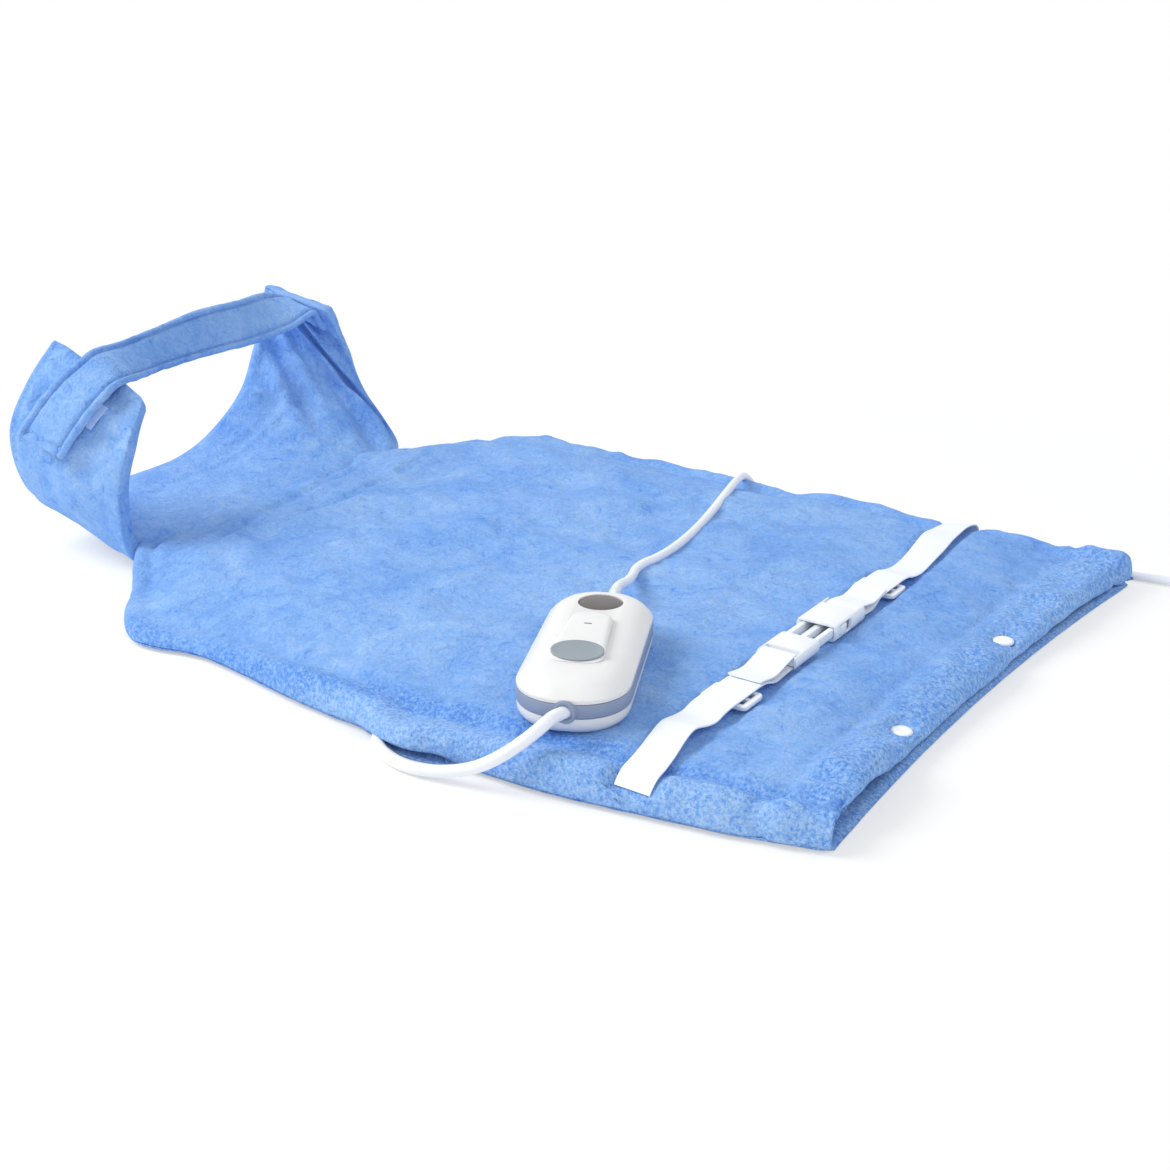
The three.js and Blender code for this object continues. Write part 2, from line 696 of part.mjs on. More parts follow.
function wireRoute(junctionX, z) {
  const back = -INSERT_START - INSERT_LENGTH + WIRE_END;
  const front = -INSERT_START - WIRE_END;
  const returnX = -INSERT_START - WIRE_RETURN;
  const radius = WIRE_PITCH / 2;
  const first = firstRow();
  const port = JUNCTION_SIZE.x / 4;
  const edge = -INSERT_WIDTH / 2;
  const route = [[junctionX - port, edge - 1], [junctionX - port, first - radius]];
  const bend = (cx, cy, from, to, r = radius) => {
    for (let k = 0; k <= 4; k += 1) {
      const angle = degrees(THREE.MathUtils.lerp(from, to, k / 4));
      route.push([cx + r * Math.cos(angle), cy + r * Math.sin(angle)]);
    }
  };
  bend(junctionX - port - radius, first - radius, 0, 90);
  for (let row = 0; row < WIRE_ROWS; row += 1) {
    const middle = first + row * WIRE_PITCH + radius;
    const leftTurn = row % 2 === 0;
    bend(leftTurn ? back : front, middle, -90, leftTurn ? -270 : 90);
  }
  const top = first + WIRE_ROWS * WIRE_PITCH;
  bend(front, top - radius, 90, 0, returnX - front);
  bend(returnX - radius, first - radius / 2 + radius, 0, -90);
  bend(junctionX + port + radius / 2, first - radius, 90, 180, radius / 2);
  route.push([junctionX + port, edge - 1]);
  return route.map(([x, y]) => new THREE.Vector3(x, y, z));
}

function buildInsert() {
  const middle = -INSERT_START - INSERT_LENGTH / 2;
  const outline = roundedRing(INSERT_LENGTH / 2, INSERT_WIDTH / 2, INSERT_CORNER, 6)
    .map((point) => new THREE.Vector2(point.x + middle, point.y));
  const lowerTop = RIM_Z + INSERT_LAYER;
  const wireZ = lowerTop + GAP + WIRE_DIAMETER / 2;
  const upperBase = wireZ + WIRE_DIAMETER / 2 + GAP;
  add(object, 'insert_lower_layer', prism(outline, RIM_Z, lowerTop), FELT);

  const cutoutX = middle - WIRE_PITCH;
  const cutoutY = firstRow() + (CUTOUT_ROW + 0.25) * WIRE_PITCH;
  const cutoutLow = [cutoutX, cutoutY, lowerTop + GAP];
  const cutoutHigh = [cutoutX + CUTOUT_SIZE.x, cutoutLow[1] + CUTOUT_SIZE.y, cutoutLow[2] + CUTOUT_SIZE.z];
  const pocket = box(cutoutLow.map((value) => value - GAP), cutoutHigh.map((value) => value + GAP));
  const upper = prism(outline, upperBase, upperBase + INSERT_LAYER);
  add(object, 'insert_upper_layer', cut(upper, pocket), FELT);
  add(object, 'thermal_cutout', box(cutoutLow, cutoutHigh), PART_BLACK);

  const inner = -INSERT_WIDTH / 2 - 1 - GAP;
  const face = inner - JUNCTION_SIZE.y;
  const grommetEnd = GROMMET_LENGTH - GROMMET_PROUD;
  const turn = degrees(ENTRY_TURN);
  const room = face - entryPoint(0).y - GAP - (LEAD_DIAMETER / 2) * Math.sin(turn);
  const stubEnd = room / Math.cos(turn);
  const junctionX = entryPoint(stubEnd).x;
  const low = [junctionX - JUNCTION_SIZE.x / 2, face, RIM_Z];
  const high = [junctionX + JUNCTION_SIZE.x / 2, inner, RIM_Z + JUNCTION_SIZE.z];
  add(object, 'lead_junction', box(low, high), PART_BLACK);
  add(object, 'lead_grommet', entryRod(GROMMET_RADIUS, -GROMMET_PROUD, grommetEnd), CORD_WHITE);
  add(object, 'inner_lead', entryRod(LEAD_DIAMETER / 2, grommetEnd + GAP, stubEnd, 10), CORD_WHITE);
  const route = wireRoute(junctionX, wireZ);
  add(object, 'heating_wire', tubeAlong(route, WIRE_DIAMETER / 2, WIRE_SIDES), SILICONE);
}

// Padded sheets: a strip between two edge curves, with a rounded section and a lift along its normal

const SHEET_SECTION = [
  [0, 0], [0.025, 0.62], [0.09, 0.94], [0.3, 1], [0.7, 1], [0.91, 0.94], [0.975, 0.62],
  [1, 0], [0.975, -0.62], [0.91, -0.94], [0.7, -1], [0.3, -1], [0.09, -0.94], [0.025, -0.62],
];
const PATCH_SECTION = [[0, 1], [0.5, 1], [1, 1], [1, -1], [0.5, -1], [0, -1]];

class Sheet {
  constructor(stations) {
    this.edges = [0, 1].map((side) => {
      const points = stations.map((pair) => pair[side]);
      return new THREE.CatmullRomCurve3(points, false, 'centripetal');
    });
  }

  frame(s) {
    const [a, b] = this.edges.map((edge) => edge.getPoint(s));
    const [ta, tb] = this.edges.map((edge) => edge.getTangent(s));
    const across = new THREE.Vector3().subVectors(b, a);
    const along = ta.add(tb).normalize();
    const normal = new THREE.Vector3().crossVectors(along, across).normalize();
    return { a, across, normal };
  }

  point(s, u, lift) {
    const { a, across, normal } = this.frame(s);
    return a.clone().addScaledVector(across, u).addScaledVector(normal, lift);
  }

  geometry(thick, steps, options = {}) {
    const { from = 0, to = 1, low = 0, high = 1, drift = 0, lift = 0, section = SHEET_SECTION } = options;
    const rings = Array.from({ length: steps + 1 }, (_, k) => {
      const s = THREE.MathUtils.lerp(from, to, k / steps);
      return section.map(([u, h]) => {
        const share = THREE.MathUtils.lerp(low, high, u) + (drift * k) / steps;
        return this.point(s, share, lift + (h * thick) / 2);
      });
    });
    return loft(rings, (_, k) => new THREE.Vector2(...section[k]));
  }
}

// Places in the collar's shares, from the middle of its seam
function roundNeck(stations) {
  return stations.map((pair) => pair.map(([x, y, z]) => (
    new THREE.Vector3(NECK_X + x * COLLAR_DEPTH, y * COLLAR_SPREAD, z * COLLAR_RISE)
  )));
}

const collarSheet = new Sheet(roundNeck(COLLAR_STATIONS));

function strapSheet() {
  const sewnLift = (COLLAR_THICK + STRAP_THICK) / 2 + 4 * GAP;
  const closedLift = -(COLLAR_THICK + STRAP_THICK) / 2 - LOOP_THICK - HOOK_THICK - 5 * GAP;
  const sewn = STRAP_SEWN.stations.map((s) => [
    collarSheet.point(s, STRAP_SEWN.lower, sewnLift),
    collarSheet.point(s, STRAP_SEWN.upper, sewnLift),
  ]);
  const { from, to, lower, upper, drift } = STRAP_CLOSED;
  const closed = [0, 0.3, 0.6, 1].map((share) => [lower, upper].map((u) => (
    collarSheet.point(THREE.MathUtils.lerp(from, to, share), u + drift * share, closedLift)
  )));
  return new Sheet([...sewn, ...roundNeck(STRAP_FREE), ...closed]);
}

function buildCollar() {
  add(object, 'collar', collarSheet.geometry(COLLAR_THICK, COLLAR_STEPS), PLUSH);
  const strap = strapSheet();
  add(object, 'collar_strap', strap.geometry(STRAP_THICK, STRAP_STEPS), PLUSH);

  const { from, to, lower, upper, drift } = STRAP_CLOSED;
  const loopLift = -(COLLAR_THICK + LOOP_THICK) / 2 - GAP;
  const hookLift = loopLift - (LOOP_THICK + HOOK_THICK) / 2 - GAP;
  const patch = (thick, lift, low) => collarSheet.geometry(thick, 6, {
    from: from + 2 * PATCH_MARGIN.along,
    to: to - PATCH_MARGIN.along,
    low,
    high: upper - PATCH_MARGIN.across,
    drift: drift * 0.625,
    lift,
    section: PATCH_SECTION,
  });
  const loop = patch(LOOP_THICK, loopLift, lower - PATCH_MARGIN.across);
  const hook = patch(HOOK_THICK, hookLift, lower + 2 * PATCH_MARGIN.across);
  add(object, 'loop_patch', loop, WEBBING);
  add(object, 'hook_patch', hook, WEBBING);
}

// Waist belt: webbing drawn in the YZ plane and extruded across its width

function webbing(path) {
  const points = path.map(([y, z]) => new THREE.Vector3(0, y, z));
  const curve = new THREE.CatmullRomCurve3(points, false, 'centripetal');
  const count = path.length * 2;
  const sides = [1, -1].map((side) => Array.from({ length: count + 1 }, (_, k) => {
    const point = curve.getPoint(k / count);
    const along = curve.getTangent(k / count);
    const off = (side * WEB_THICK) / 2;
    return new THREE.Vector2(point.y - along.z * off, point.z + along.y * off);
  }));
  const shape = new THREE.Shape([...sides[0], ...sides[1].reverse()]);
  const geometry = new THREE.ExtrudeGeometry(shape, { depth: WEB_WIDTH, bevelEnabled: false });
  const x = BELT_X - WEB_WIDTH / 2;
  return geometry.applyMatrix4(new THREE.Matrix4().set(0, 0, 1, x, 1, 0, 0, 0, 0, 1, 0, 0, 0, 0, 0, 1));
}

// Path from the pad's edge through an adjuster, round a buckle bar and back; side is -1 near, 1 far
function beltPath(side, wave, adjusterY, barY) {
  const edges = [-0.5, 0.5].map((share) => halfWidth(BELT_X + share * WEB_WIDTH, side));
  const edge = Math.max(...edges);
  const over = ADJUSTER_Z + ADJUSTER_THICK + GAP + WEB_THICK;
  const low = ADJUSTER_Z - GAP - WEB_THICK * 0.75;
  const under = BAR_BASE - GAP - WEB_THICK / 2 - 0.2;
  const above = BAR_TOP + GAP + WEB_THICK / 2 + 0.2;
  const inside = barY - side * (BAR_DEPTH / 2 + GAP + WEB_THICK / 2 + 0.4);
  const hump = ADJUSTER_BAR / 2 + ADJUSTER_SLOT / 2;
  const off = WEB_THICK / 2 + 4 * GAP;
  const start = [25, 45, 65].map((angle) => [
    side * (edge - EDGE_ROLL + (EDGE_ROLL + off) * Math.cos(degrees(angle))),
    RIM_Z + (EDGE_HEIGHT + off) * Math.sin(degrees(angle)),
  ]);
  const adjuster = [
    [adjusterY + side * 22, low],
    [adjusterY + side * 13, low],
    [adjusterY + side * (hump + 3.2), low],
    [adjusterY + side * hump * 0.9, (low + over) / 2],
    [adjusterY + side * 1.2, over],
    [adjusterY - side * 1.2, over],
    [adjusterY - side * hump * 0.9, (low + over) / 2],
    [adjusterY - side * (hump + 3.2), low],
    [adjusterY - side * 13, low],
  ];
  const loop = [
    [barY + side * 20, under - 1.2],
    [barY + side * 8, under - 0.3],
    [barY + side, under],
    [inside + side * 0.8, under + 0.1],
    [inside, under + 1.3],
    [inside, above - 1.3],
    [inside + side * 0.8, above - 0.1],
    [barY + side, above],
    [barY + side * 8, above - 1],
    [barY + side * 22, under + 3.4],
    [barY + side * 28, under + 2],
  ];
  const slack = wave.map(([reach, rise]) => [
    adjusterY + side * reach * WAVE_REACH, ADJUSTER_Z + rise * WAVE_RISE,
  ]);
  return [...start, ...slack, ...adjuster, ...loop];
}

// A rounded block that runs along the belt, from y0 to y1
function beltBlock(width, y0, y1, thick, radius) {
  const outline = roundedRing(width / 2, thick / 2, radius, 2);
  return prism(outline, 0, y1 - y0).rotateX(Math.PI / 2).translate(BELT_X, y1, BUCKLE_MIDDLE);
}

function beltBox(width, y0, y1, z0, z1) {
  return box([BELT_X - width / 2, y0, z0], [BELT_X + width / 2, y1, z1]);
}

// Cuts a webbing slot and thins the bar behind it; rear is the outer face of the bar, side its direction
function cutBar(geometry, rear, side) {
  const width = WEB_WIDTH + 4 * GAP;
  const span = (from, to) => [rear - side * from, rear - side * to].sort((a, b) => a - b);
  const slot = span(BAR_DEPTH, BAR_DEPTH + WEB_SLOT);
  const bar = span(-1, BAR_DEPTH + 0.1);
  return cut(
    geometry,
    beltBox(width, ...slot, BUCKLE_BASE_Z - 1, BUCKLE_BASE_Z + BUCKLE_THICK + 1),
    beltBox(width, ...bar, BUCKLE_BASE_Z - 1, BAR_BASE),
    beltBox(width, ...bar, BAR_TOP, BUCKLE_BASE_Z + BUCKLE_THICK + 1),
  );
}

function armOutline(side) {
  const outer = SOCKET_WIDTH / 2 - GAP;
  const inner = outer - ARM_WIDTH;
  const root = MOUTH_Y - MALE_EXPOSED + GAP;
  const tip = MOUTH_Y + PRONG_DEPTH;
  const outline = [
    [inner, root], [outer, root], [outer, MOUTH_Y + 4.6], [outer + ARM_PAD, MOUTH_Y + 7],
    [outer + ARM_PAD, MOUTH_Y + 12], [outer - 1, tip], [inner, tip],
  ];
  const points = outline.map(([x, y]) => new THREE.Vector2(BELT_X + side * x, y));
  return side > 0 ? points : points.reverse();
}

function adjuster(y) {
  const reach = ADJUSTER_BAR * 1.5 + ADJUSTER_SLOT;
  const outline = roundedRing(ADJUSTER_WIDTH / 2, reach, 3, 3)
    .map((point) => new THREE.Vector2(point.x + BELT_X, point.y + y));
  const frame = prism(outline, ADJUSTER_Z, ADJUSTER_Z + ADJUSTER_THICK);
  const slots = [-1, 1].map((side) => {
    const middle = y + side * (ADJUSTER_BAR + ADJUSTER_SLOT) / 2;
    return beltBox(WEB_WIDTH + 4 * GAP, middle - ADJUSTER_SLOT / 2, middle + ADJUSTER_SLOT / 2,
      ADJUSTER_Z - 1, ADJUSTER_Z + ADJUSTER_THICK + 1);
  });
  return cut(frame, ...slots);
}

function buildBelt() {
  const femaleRear = MOUTH_Y + FEMALE_LENGTH;
  const baseFront = MOUTH_Y - MALE_EXPOSED;
  const maleRear = baseFront - MALE_BASE_LENGTH;
  const nearPath = beltPath(-1, WAVE_NEAR, ADJUSTER_Y.near, maleRear + BAR_DEPTH / 2);
  const farPath = beltPath(1, WAVE_FAR, ADJUSTER_Y.far, femaleRear - BAR_DEPTH / 2);
  add(object, 'belt_near', webbing(nearPath), WEBBING);
  add(object, 'belt_far', webbing(farPath), WEBBING);
  add(object, 'adjuster_near', adjuster(ADJUSTER_Y.near), BUCKLE_WHITE);
  add(object, 'adjuster_far', adjuster(ADJUSTER_Y.far), BUCKLE_WHITE);

  const socketLow = BUCKLE_MIDDLE - SOCKET_HEIGHT / 2;
  const socketHigh = BUCKLE_MIDDLE + SOCKET_HEIGHT / 2;
  const female = cut(
    beltBlock(BUCKLE_WIDTH, MOUTH_Y, femaleRear, BUCKLE_THICK, 3.5),
    beltBox(SOCKET_WIDTH, MOUTH_Y - 1, MOUTH_Y + SOCKET_DEPTH, socketLow, socketHigh),
    beltBox(BUCKLE_WIDTH + 2, MOUTH_Y + 4, MOUTH_Y + SOCKET_DEPTH - 3, socketLow, socketHigh),
  );
  add(object, 'buckle_female', cutBar(female, femaleRear, 1), BUCKLE_WHITE);

  const base = beltBlock(BUCKLE_WIDTH - 1, maleRear, baseFront, BUCKLE_THICK - 3, 2.5);
  const tongue = beltBox(TONGUE_WIDTH, baseFront - 1, MOUTH_Y + PRONG_DEPTH - 1,
    BUCKLE_MIDDLE - 2, BUCKLE_MIDDLE + 2);
  add(object, 'buckle_male', join(cutBar(base, maleRear, -1), tongue), BUCKLE_WHITE);
  const armHalf = SOCKET_HEIGHT / 2 - 2 * GAP;
  for (const [side, sign] of [['left', -1], ['right', 1]]) {
    const arm = prism(armOutline(sign), BUCKLE_MIDDLE - armHalf, BUCKLE_MIDDLE + armHalf);
    add(object, `buckle_arm_${side}`, arm, BUCKLE_WHITE);
  }
}

// Controller case: rings of one rounded, slightly tapering outline

function caseRing(inset) {
  const half = CASE_LENGTH / 2 - inset;
  const radius = Math.max(CASE_CORNER - inset, 2);
  const corners = [[1, 1, 0], [-1, 1, 90], [-1, -1, 180], [1, -1, 270]];
  return corners.flatMap(([sx, sy, start]) => Array.from({ length: 6 }, (_, k) => {
    const width = (sx > 0 ? CASE_FAR_WIDTH : CASE_NEAR_WIDTH) / 2 - inset;
    const angle = degrees(start + (90 * k) / 5);
    const x = sx * (half - radius) + radius * Math.cos(angle);
    const y = sy * (width - radius) + radius * Math.sin(angle);
    return new THREE.Vector2(x, y);
  }));
}

function caseBody(profile, closed = false) {
  const rings = profile.map(([inset, z]) => caseRing(inset).map((p) => new THREE.Vector3(p.x, p.y, z)));
  return loft(rings, (point) => new THREE.Vector2(point.x, point.y), closed);
}

function addToCase(name, geometry, finish) {
  add(controller, name, geometry, finish);
}

const SCREW_PLACES = [[1, 1], [1, -1], [-1, 1], [-1, -1]].map(([sx, sy]) => [sx * SCREW_X, sy * SCREW_Y]);

function bushRod(radius, from, to) {
  const geometry = rod(radius, to - from, 'x', 20).translate(-(from + to) / 2, 0, 0);
  return geometry.rotateZ(-degrees(BUSH_TURN)).translate(-CASE_LENGTH / 2, 0, CORD_HEIGHT);
}

function reliefHole() {
  const length = 4 * RELIEF_INSIDE;
  return rod(RELIEF_ROOT_RADIUS + GAP, length, 'x', 20).translate(CASE_LENGTH / 2, 0, CORD_HEIGHT);
}

function cordHoles() {
  return [bushRod(BUSH_RADIUS + GAP, -BUSH_LENGTH * 1.2, BUSH_LENGTH * 2), reliefHole()];
}

function buildBase() {
  const floor = CASE_WALL + 0.2;
  const top = BASE_HEIGHT;
  const shell = caseBody([
    [14, 0], [5, 0.8], [2, 2.6], [0.6, 5.5], [0, 9], [0, top],
    [CASE_WALL, top], [CASE_WALL, 9], [CASE_WALL + 1, 5.4], [CASE_WALL + 4, 3.2], [14, floor],
  ]);
  const posts = SCREW_PLACES.map(([x, y]) => {
    const height = top - GAP - floor + 1;
    return rod(POST_RADIUS, height, 'z', 14).translate(x, y, floor - 1 + height / 2);
  });
  const rests = [[1, 1], [1, -1], [-1, 1], [-1, -1]].map(([sx, sy]) => {
    const height = BOARD_Z - GAP - floor + 1;
    const place = [sx * (BOARD_SIZE.x / 2 - 8), sy * (BOARD_SIZE.y / 2 - 4)];
    return rod(2.5, height, 'z', 12).translate(...place, floor - 1 + height / 2);
  });
  const headTop = SCREW_SUNK + SCREW_HEAD_HEIGHT + GAP;
  const holes = SCREW_PLACES.flatMap(([x, y]) => [
    rod(SCREW_RADIUS + GAP, 4 * BASE_HEIGHT, 'z', 12).translate(x, y, 0),
    rod(SCREW_HEAD_RADIUS + GAP, 2 * headTop, 'z', 14).translate(x, y, 0),
  ]);
  addToCase('case_bottom', cut(join(shell, ...posts, ...rests), ...holes, ...cordHoles()), CASE_WHITE);

  for (const [index, [x, y]] of SCREW_PLACES.entries()) {
    const screw = turned([
      [0, SCREW_SUNK],
      [SCREW_HEAD_RADIUS, SCREW_SUNK],
      [SCREW_HEAD_RADIUS, SCREW_SUNK + SCREW_HEAD_HEIGHT],
      [SCREW_RADIUS, SCREW_SUNK + SCREW_HEAD_HEIGHT],
      [SCREW_RADIUS, SCREW_SUNK + SCREW_LENGTH],
      [0, SCREW_SUNK + SCREW_LENGTH],
    ], 12);
    addToCase(`case_screw_${index + 1}`, screw.translate(x, y, 0), STEEL);
  }
}

function buildBand() {
  const top = BAND_Z + BAND_HEIGHT;
  const band = caseBody([
    [0, BAND_Z], [-0.35, BAND_Z + 1], [-0.35, top - 1], [0, top], [CASE_WALL, top], [CASE_WALL, BAND_Z],
  ], true);
  const ring = cut(band, ...cordHoles());
  const reach = CASE_LENGTH;
  const left = common(ring, box([-reach, 0, 0], [reach, reach, CASE_TOP]));
  const right = common(ring, box([-reach, -reach, 0], [reach, 0, CASE_TOP]));
  addToCase('trim_band_left', left, BAND_BLUE);
  addToCase('trim_band_right', right, BAND_BLUE);
}

function trackOutline() {
  const from = SLIDER_FRONT - SLIDER_TRAVEL - TRACK_MARGIN;
  const to = SLIDER_BACK + TRACK_MARGIN;
  const half = SLIDER_WIDTH / 2 + TRACK_MARGIN;
  return roundedRing((to - from) / 2, half, SLIDER_CORNER + TRACK_MARGIN)
    .map((point) => new THREE.Vector2(point.x + (from + to) / 2, point.y));
}

function windowOutline(grow) {
  return ellipseRing(WINDOW_SIZE.x / 2 + grow, WINDOW_SIZE.y / 2 + grow)
    .map((point) => new THREE.Vector2(point.x + WINDOW_X, point.y));
}

function buildLid() {
  const rise = [[22, 1], [18, 0.985], [12, 0.92], [7, 0.75], [3, 0.45], [0.8, 0.14], [0, 0]];
  const outer = rise.map(([inset, share]) => [inset, LID_Z + LID_RIM + share * LID_RISE]);
  const inner = rise.map(([inset, share]) => [
    inset * 0.95 + CASE_WALL, LID_Z + (LID_RIM + share * LID_RISE) * LID_HOLLOW,
  ]);
  const shell = caseBody([...outer, [0, LID_Z], [CASE_WALL, LID_Z], ...inner.reverse()]);
  const postBase = BASE_HEIGHT;
  const postTop = LID_Z + LID_RIM + LID_RISE * 0.5;
  const posts = SCREW_PLACES.map(([x, y]) => (
    rod(POST_RADIUS, postTop - postBase, 'z', 14).translate(x, y, (postTop + postBase) / 2)
  ));
  const holes = SCREW_PLACES.map(([x, y]) => {
    const depth = SCREW_SUNK + SCREW_LENGTH + GAP - postBase + 1;
    return rod(SCREW_RADIUS + GAP, depth, 'z', 12).translate(x, y, postBase - 1 + depth / 2);
  });
  const stemHalf = STEM_SIZE.x / 2 + TRACK_MARGIN;
  const stemSide = STEM_SIZE.y / 2 + TRACK_MARGIN;
  const slot = box(
    [STEM_X - stemHalf - SLIDER_TRAVEL, -stemSide, LID_Z],
    [STEM_X + stemHalf, stemSide, CASE_TOP + 1],
  );
  const track = prism(trackOutline(), TRACK_Z, CASE_TOP + 1);
  const pocket = prism(windowOutline(GAP), WINDOW_BASE - GAP, CASE_TOP + 1);
  const opening = prism(windowOutline(-3), LID_Z, CASE_TOP + 1);
  const lid = cut(join(shell, ...posts), ...holes, slot, track, pocket, opening, ...cordHoles());
  addToCase('case_top', lid, CASE_WHITE);
  const window = prism(windowOutline(0), WINDOW_BASE, WINDOW_BASE + WINDOW_THICK);
  addToCase('display_window', window, LENS_DARK);
}

function gripDisc(grow, from, to) {
  const disc = prism(ellipseRing(GRIP_SIZE.x / 2 + grow, GRIP_SIZE.y / 2 + grow), from, to);
  const tilt = Math.atan2(GRIP_DROP, GRIP_RAMP);
  const x = SLIDER_FRONT + 1 + GRIP_RAMP / 2;
  return disc.rotateY(-tilt).translate(x, 0, TRACK_Z + GAP + SLIDER_HEIGHT - GRIP_DROP / 2);
}

function buildSlider() {
  const base = TRACK_Z + GAP;
  const top = base + SLIDER_HEIGHT;
  const side = [
    [SLIDER_BACK, base], [SLIDER_BACK, top - 1.6], [SLIDER_BACK - 1.6, top],
    [SLIDER_FRONT + 1 + GRIP_RAMP, top], [SLIDER_FRONT + 1, top - GRIP_DROP], [SLIDER_FRONT, base],
  ].map(([x, z]) => new THREE.Vector2(x, z));
  const length = SLIDER_BACK - SLIDER_FRONT;
  const middle = (SLIDER_BACK + SLIDER_FRONT) / 2;
  const wedge = prism(side, -SLIDER_WIDTH, SLIDER_WIDTH).rotateX(Math.PI / 2);
  const outline = roundedRing(length / 2, SLIDER_WIDTH / 2, SLIDER_CORNER)
    .map((point) => new THREE.Vector2(point.x + middle, point.y));
  const block = common(wedge, prism(outline, base - 1, top + 1));
  const knobTop = BOARD_TOP + GAP + SWITCH_SIZE.z - KNOB_SIZE.z / 2 + KNOB_SIZE.z;
  const stem = box(
    [STEM_X - STEM_SIZE.x / 2, -STEM_SIZE.y / 2, knobTop + GAP],
    [STEM_X + STEM_SIZE.x / 2, STEM_SIZE.y / 2, base + 1],
  );
  const recess = gripDisc(GAP, -GRIP_THICK / 2 - GAP, SLIDER_HEIGHT);
  addToCase('slider_cap', cut(join(block, stem), recess), CASE_WHITE);
  addToCase('slider_grip', gripDisc(0, -GRIP_THICK / 2, GRIP_THICK / 2), GRIP_GREY);
  const knob = box(
    [STEM_X - KNOB_SIZE.x / 2, -KNOB_SIZE.y / 2, knobTop - KNOB_SIZE.z],
    [STEM_X + KNOB_SIZE.x / 2, KNOB_SIZE.y / 2, knobTop],
  );
  addToCase('switch_knob', knob, PART_BLACK);
}

function onBoard(x, y, size) {
  const z = BOARD_TOP + GAP;
  return box([x - size.x / 2, y - size.y / 2, z], [x + size.x / 2, y + size.y / 2, z + size.z]);
}

function buildBoard() {
  const half = [BOARD_SIZE.x / 2, BOARD_SIZE.y / 2];
  addToCase('circuit_board', box([-half[0], -half[1], BOARD_Z], [half[0], half[1], BOARD_TOP]), BOARD_GREEN);
  const switchX = STEM_X - SLIDER_TRAVEL / 2;
  const slotHalf = (KNOB_SIZE.x + SLIDER_TRAVEL) / 2 + 2 * GAP;
  const slotFloor = BOARD_TOP + GAP + SWITCH_SIZE.z - KNOB_SIZE.z / 2 - GAP;
  const slot = box(
    [switchX - slotHalf, -KNOB_SIZE.y / 2 - GAP, slotFloor],
    [switchX + slotHalf, KNOB_SIZE.y / 2 + GAP, BOARD_TOP + 2 * SWITCH_SIZE.z],
  );
  addToCase('slide_switch', cut(onBoard(switchX, 0, SWITCH_SIZE), slot), PART_BLACK);
  const fuse = rod(2.5, 18, 'x', 12).translate(-33, 9.4, BOARD_TOP + GAP + 2.5);
  addToCase('mains_fuse', fuse, STEEL);
  addToCase('power_triac', onBoard(16, -7.5, { x: 10, y: 4.5, z: 12 }), PART_BLACK);
  addToCase('film_capacitor', onBoard(19, 6.5, { x: 18, y: 8, z: 11 }), LIGHT_AMBER);
  const lightTop = WINDOW_BASE - 2;
  for (const index of [1, 2, 3]) {
    const length = lightTop - BOARD_TOP - GAP;
    const light = rod(LIGHT_RADIUS, length, 'z', 10);
    const y = (index - 2) * LIGHT_SPACING;
    addToCase(`indicator_light_${index}`, light.translate(WINDOW_X, y, lightTop - length / 2), LIGHT_AMBER);
  }
}

function buildFittings() {
  addToCase('lead_bush', bushRod(BUSH_RADIUS, BUSH_PROUD - BUSH_LENGTH, BUSH_PROUD), GRIP_GREY);
  const end = RELIEF_LENGTH;
  const relief = turned([
    [0, -RELIEF_INSIDE],
    [RELIEF_ROOT_RADIUS, -RELIEF_INSIDE],
    [RELIEF_ROOT_RADIUS, 1],
    [RELIEF_ROOT_RADIUS - 0.7, 5],
    [MAINS_DIAMETER / 2 + 0.8, end],
    [0, end],
  ]);
  const placed = relief.rotateY(Math.PI / 2).translate(CASE_LENGTH / 2, 0, CORD_HEIGHT);
  addToCase('mains_strain_relief', placed, CORD_WHITE);
}

// Cords

function fromCase(x, y) {
  return new THREE.Vector3(x, y, CORD_HEIGHT).applyMatrix4(controller.matrix);
}

function buildPadLead() {
  const turn = degrees(BUSH_TURN);
  const leave = (reach) => fromCase(-CASE_LENGTH / 2 - reach * Math.cos(turn), reach * Math.sin(turn));
  const start = BUSH_PROUD + GAP;
  const stop = -GROMMET_PROUD - GAP;
  const route = [
    leave(start), leave(start + LEAD_DIAMETER), ...vectors(PAD_LEAD_ROUTE),
    entryPoint(stop - LEAD_DIAMETER), entryPoint(stop),
  ];
  add(cords, 'pad_lead', cordAlong(route, LEAD_DIAMETER, 10, PAD_LEAD_STEPS), CORD_WHITE);
}

function coilRoute() {
  const low = COIL_LIFT + MAINS_DIAMETER / 2;
  const turns = COIL_TURNS.inward + COIL_TURNS.outward;
  const count = Math.round(turns * COIL_STEPS);
  const points = Array.from({ length: count + 1 }, (_, k) => {
    const turn = (turns * k) / count;
    const past = turn - COIL_TURNS.inward;
    const radius = COIL_RADIUS - COIL_PITCH * (COIL_TURNS.inward - Math.abs(past));
    const layer = THREE.MathUtils.smoothstep(past, -0.25, 0.25);
    const angle = Math.PI / 2 - 2 * Math.PI * turn;
    const x = COIL_START.x + radius * Math.cos(angle);
    return new THREE.Vector3(x, COIL_MIDDLE_Y + radius * Math.sin(angle), low + COIL_PITCH * layer);
  });
  const end = points[count];
  const along = new THREE.Vector3(0, -1, 0);
  for (const share of [0.15, 0.3, 0.45, 0.6, 0.7, 0.82, 1]) {
    const point = end.clone().addScaledVector(along, TAIL_LENGTH * share);
    const fall = THREE.MathUtils.smoothstep(share, 0.4, 0.85);
    point.z = THREE.MathUtils.lerp(end.z, PLUG_THICK / 2 + GAP, fall);
    points.push(point);
  }
  const first = points[0].clone();
  first.x -= MAINS_DIAMETER;
  return [first, ...points];
}

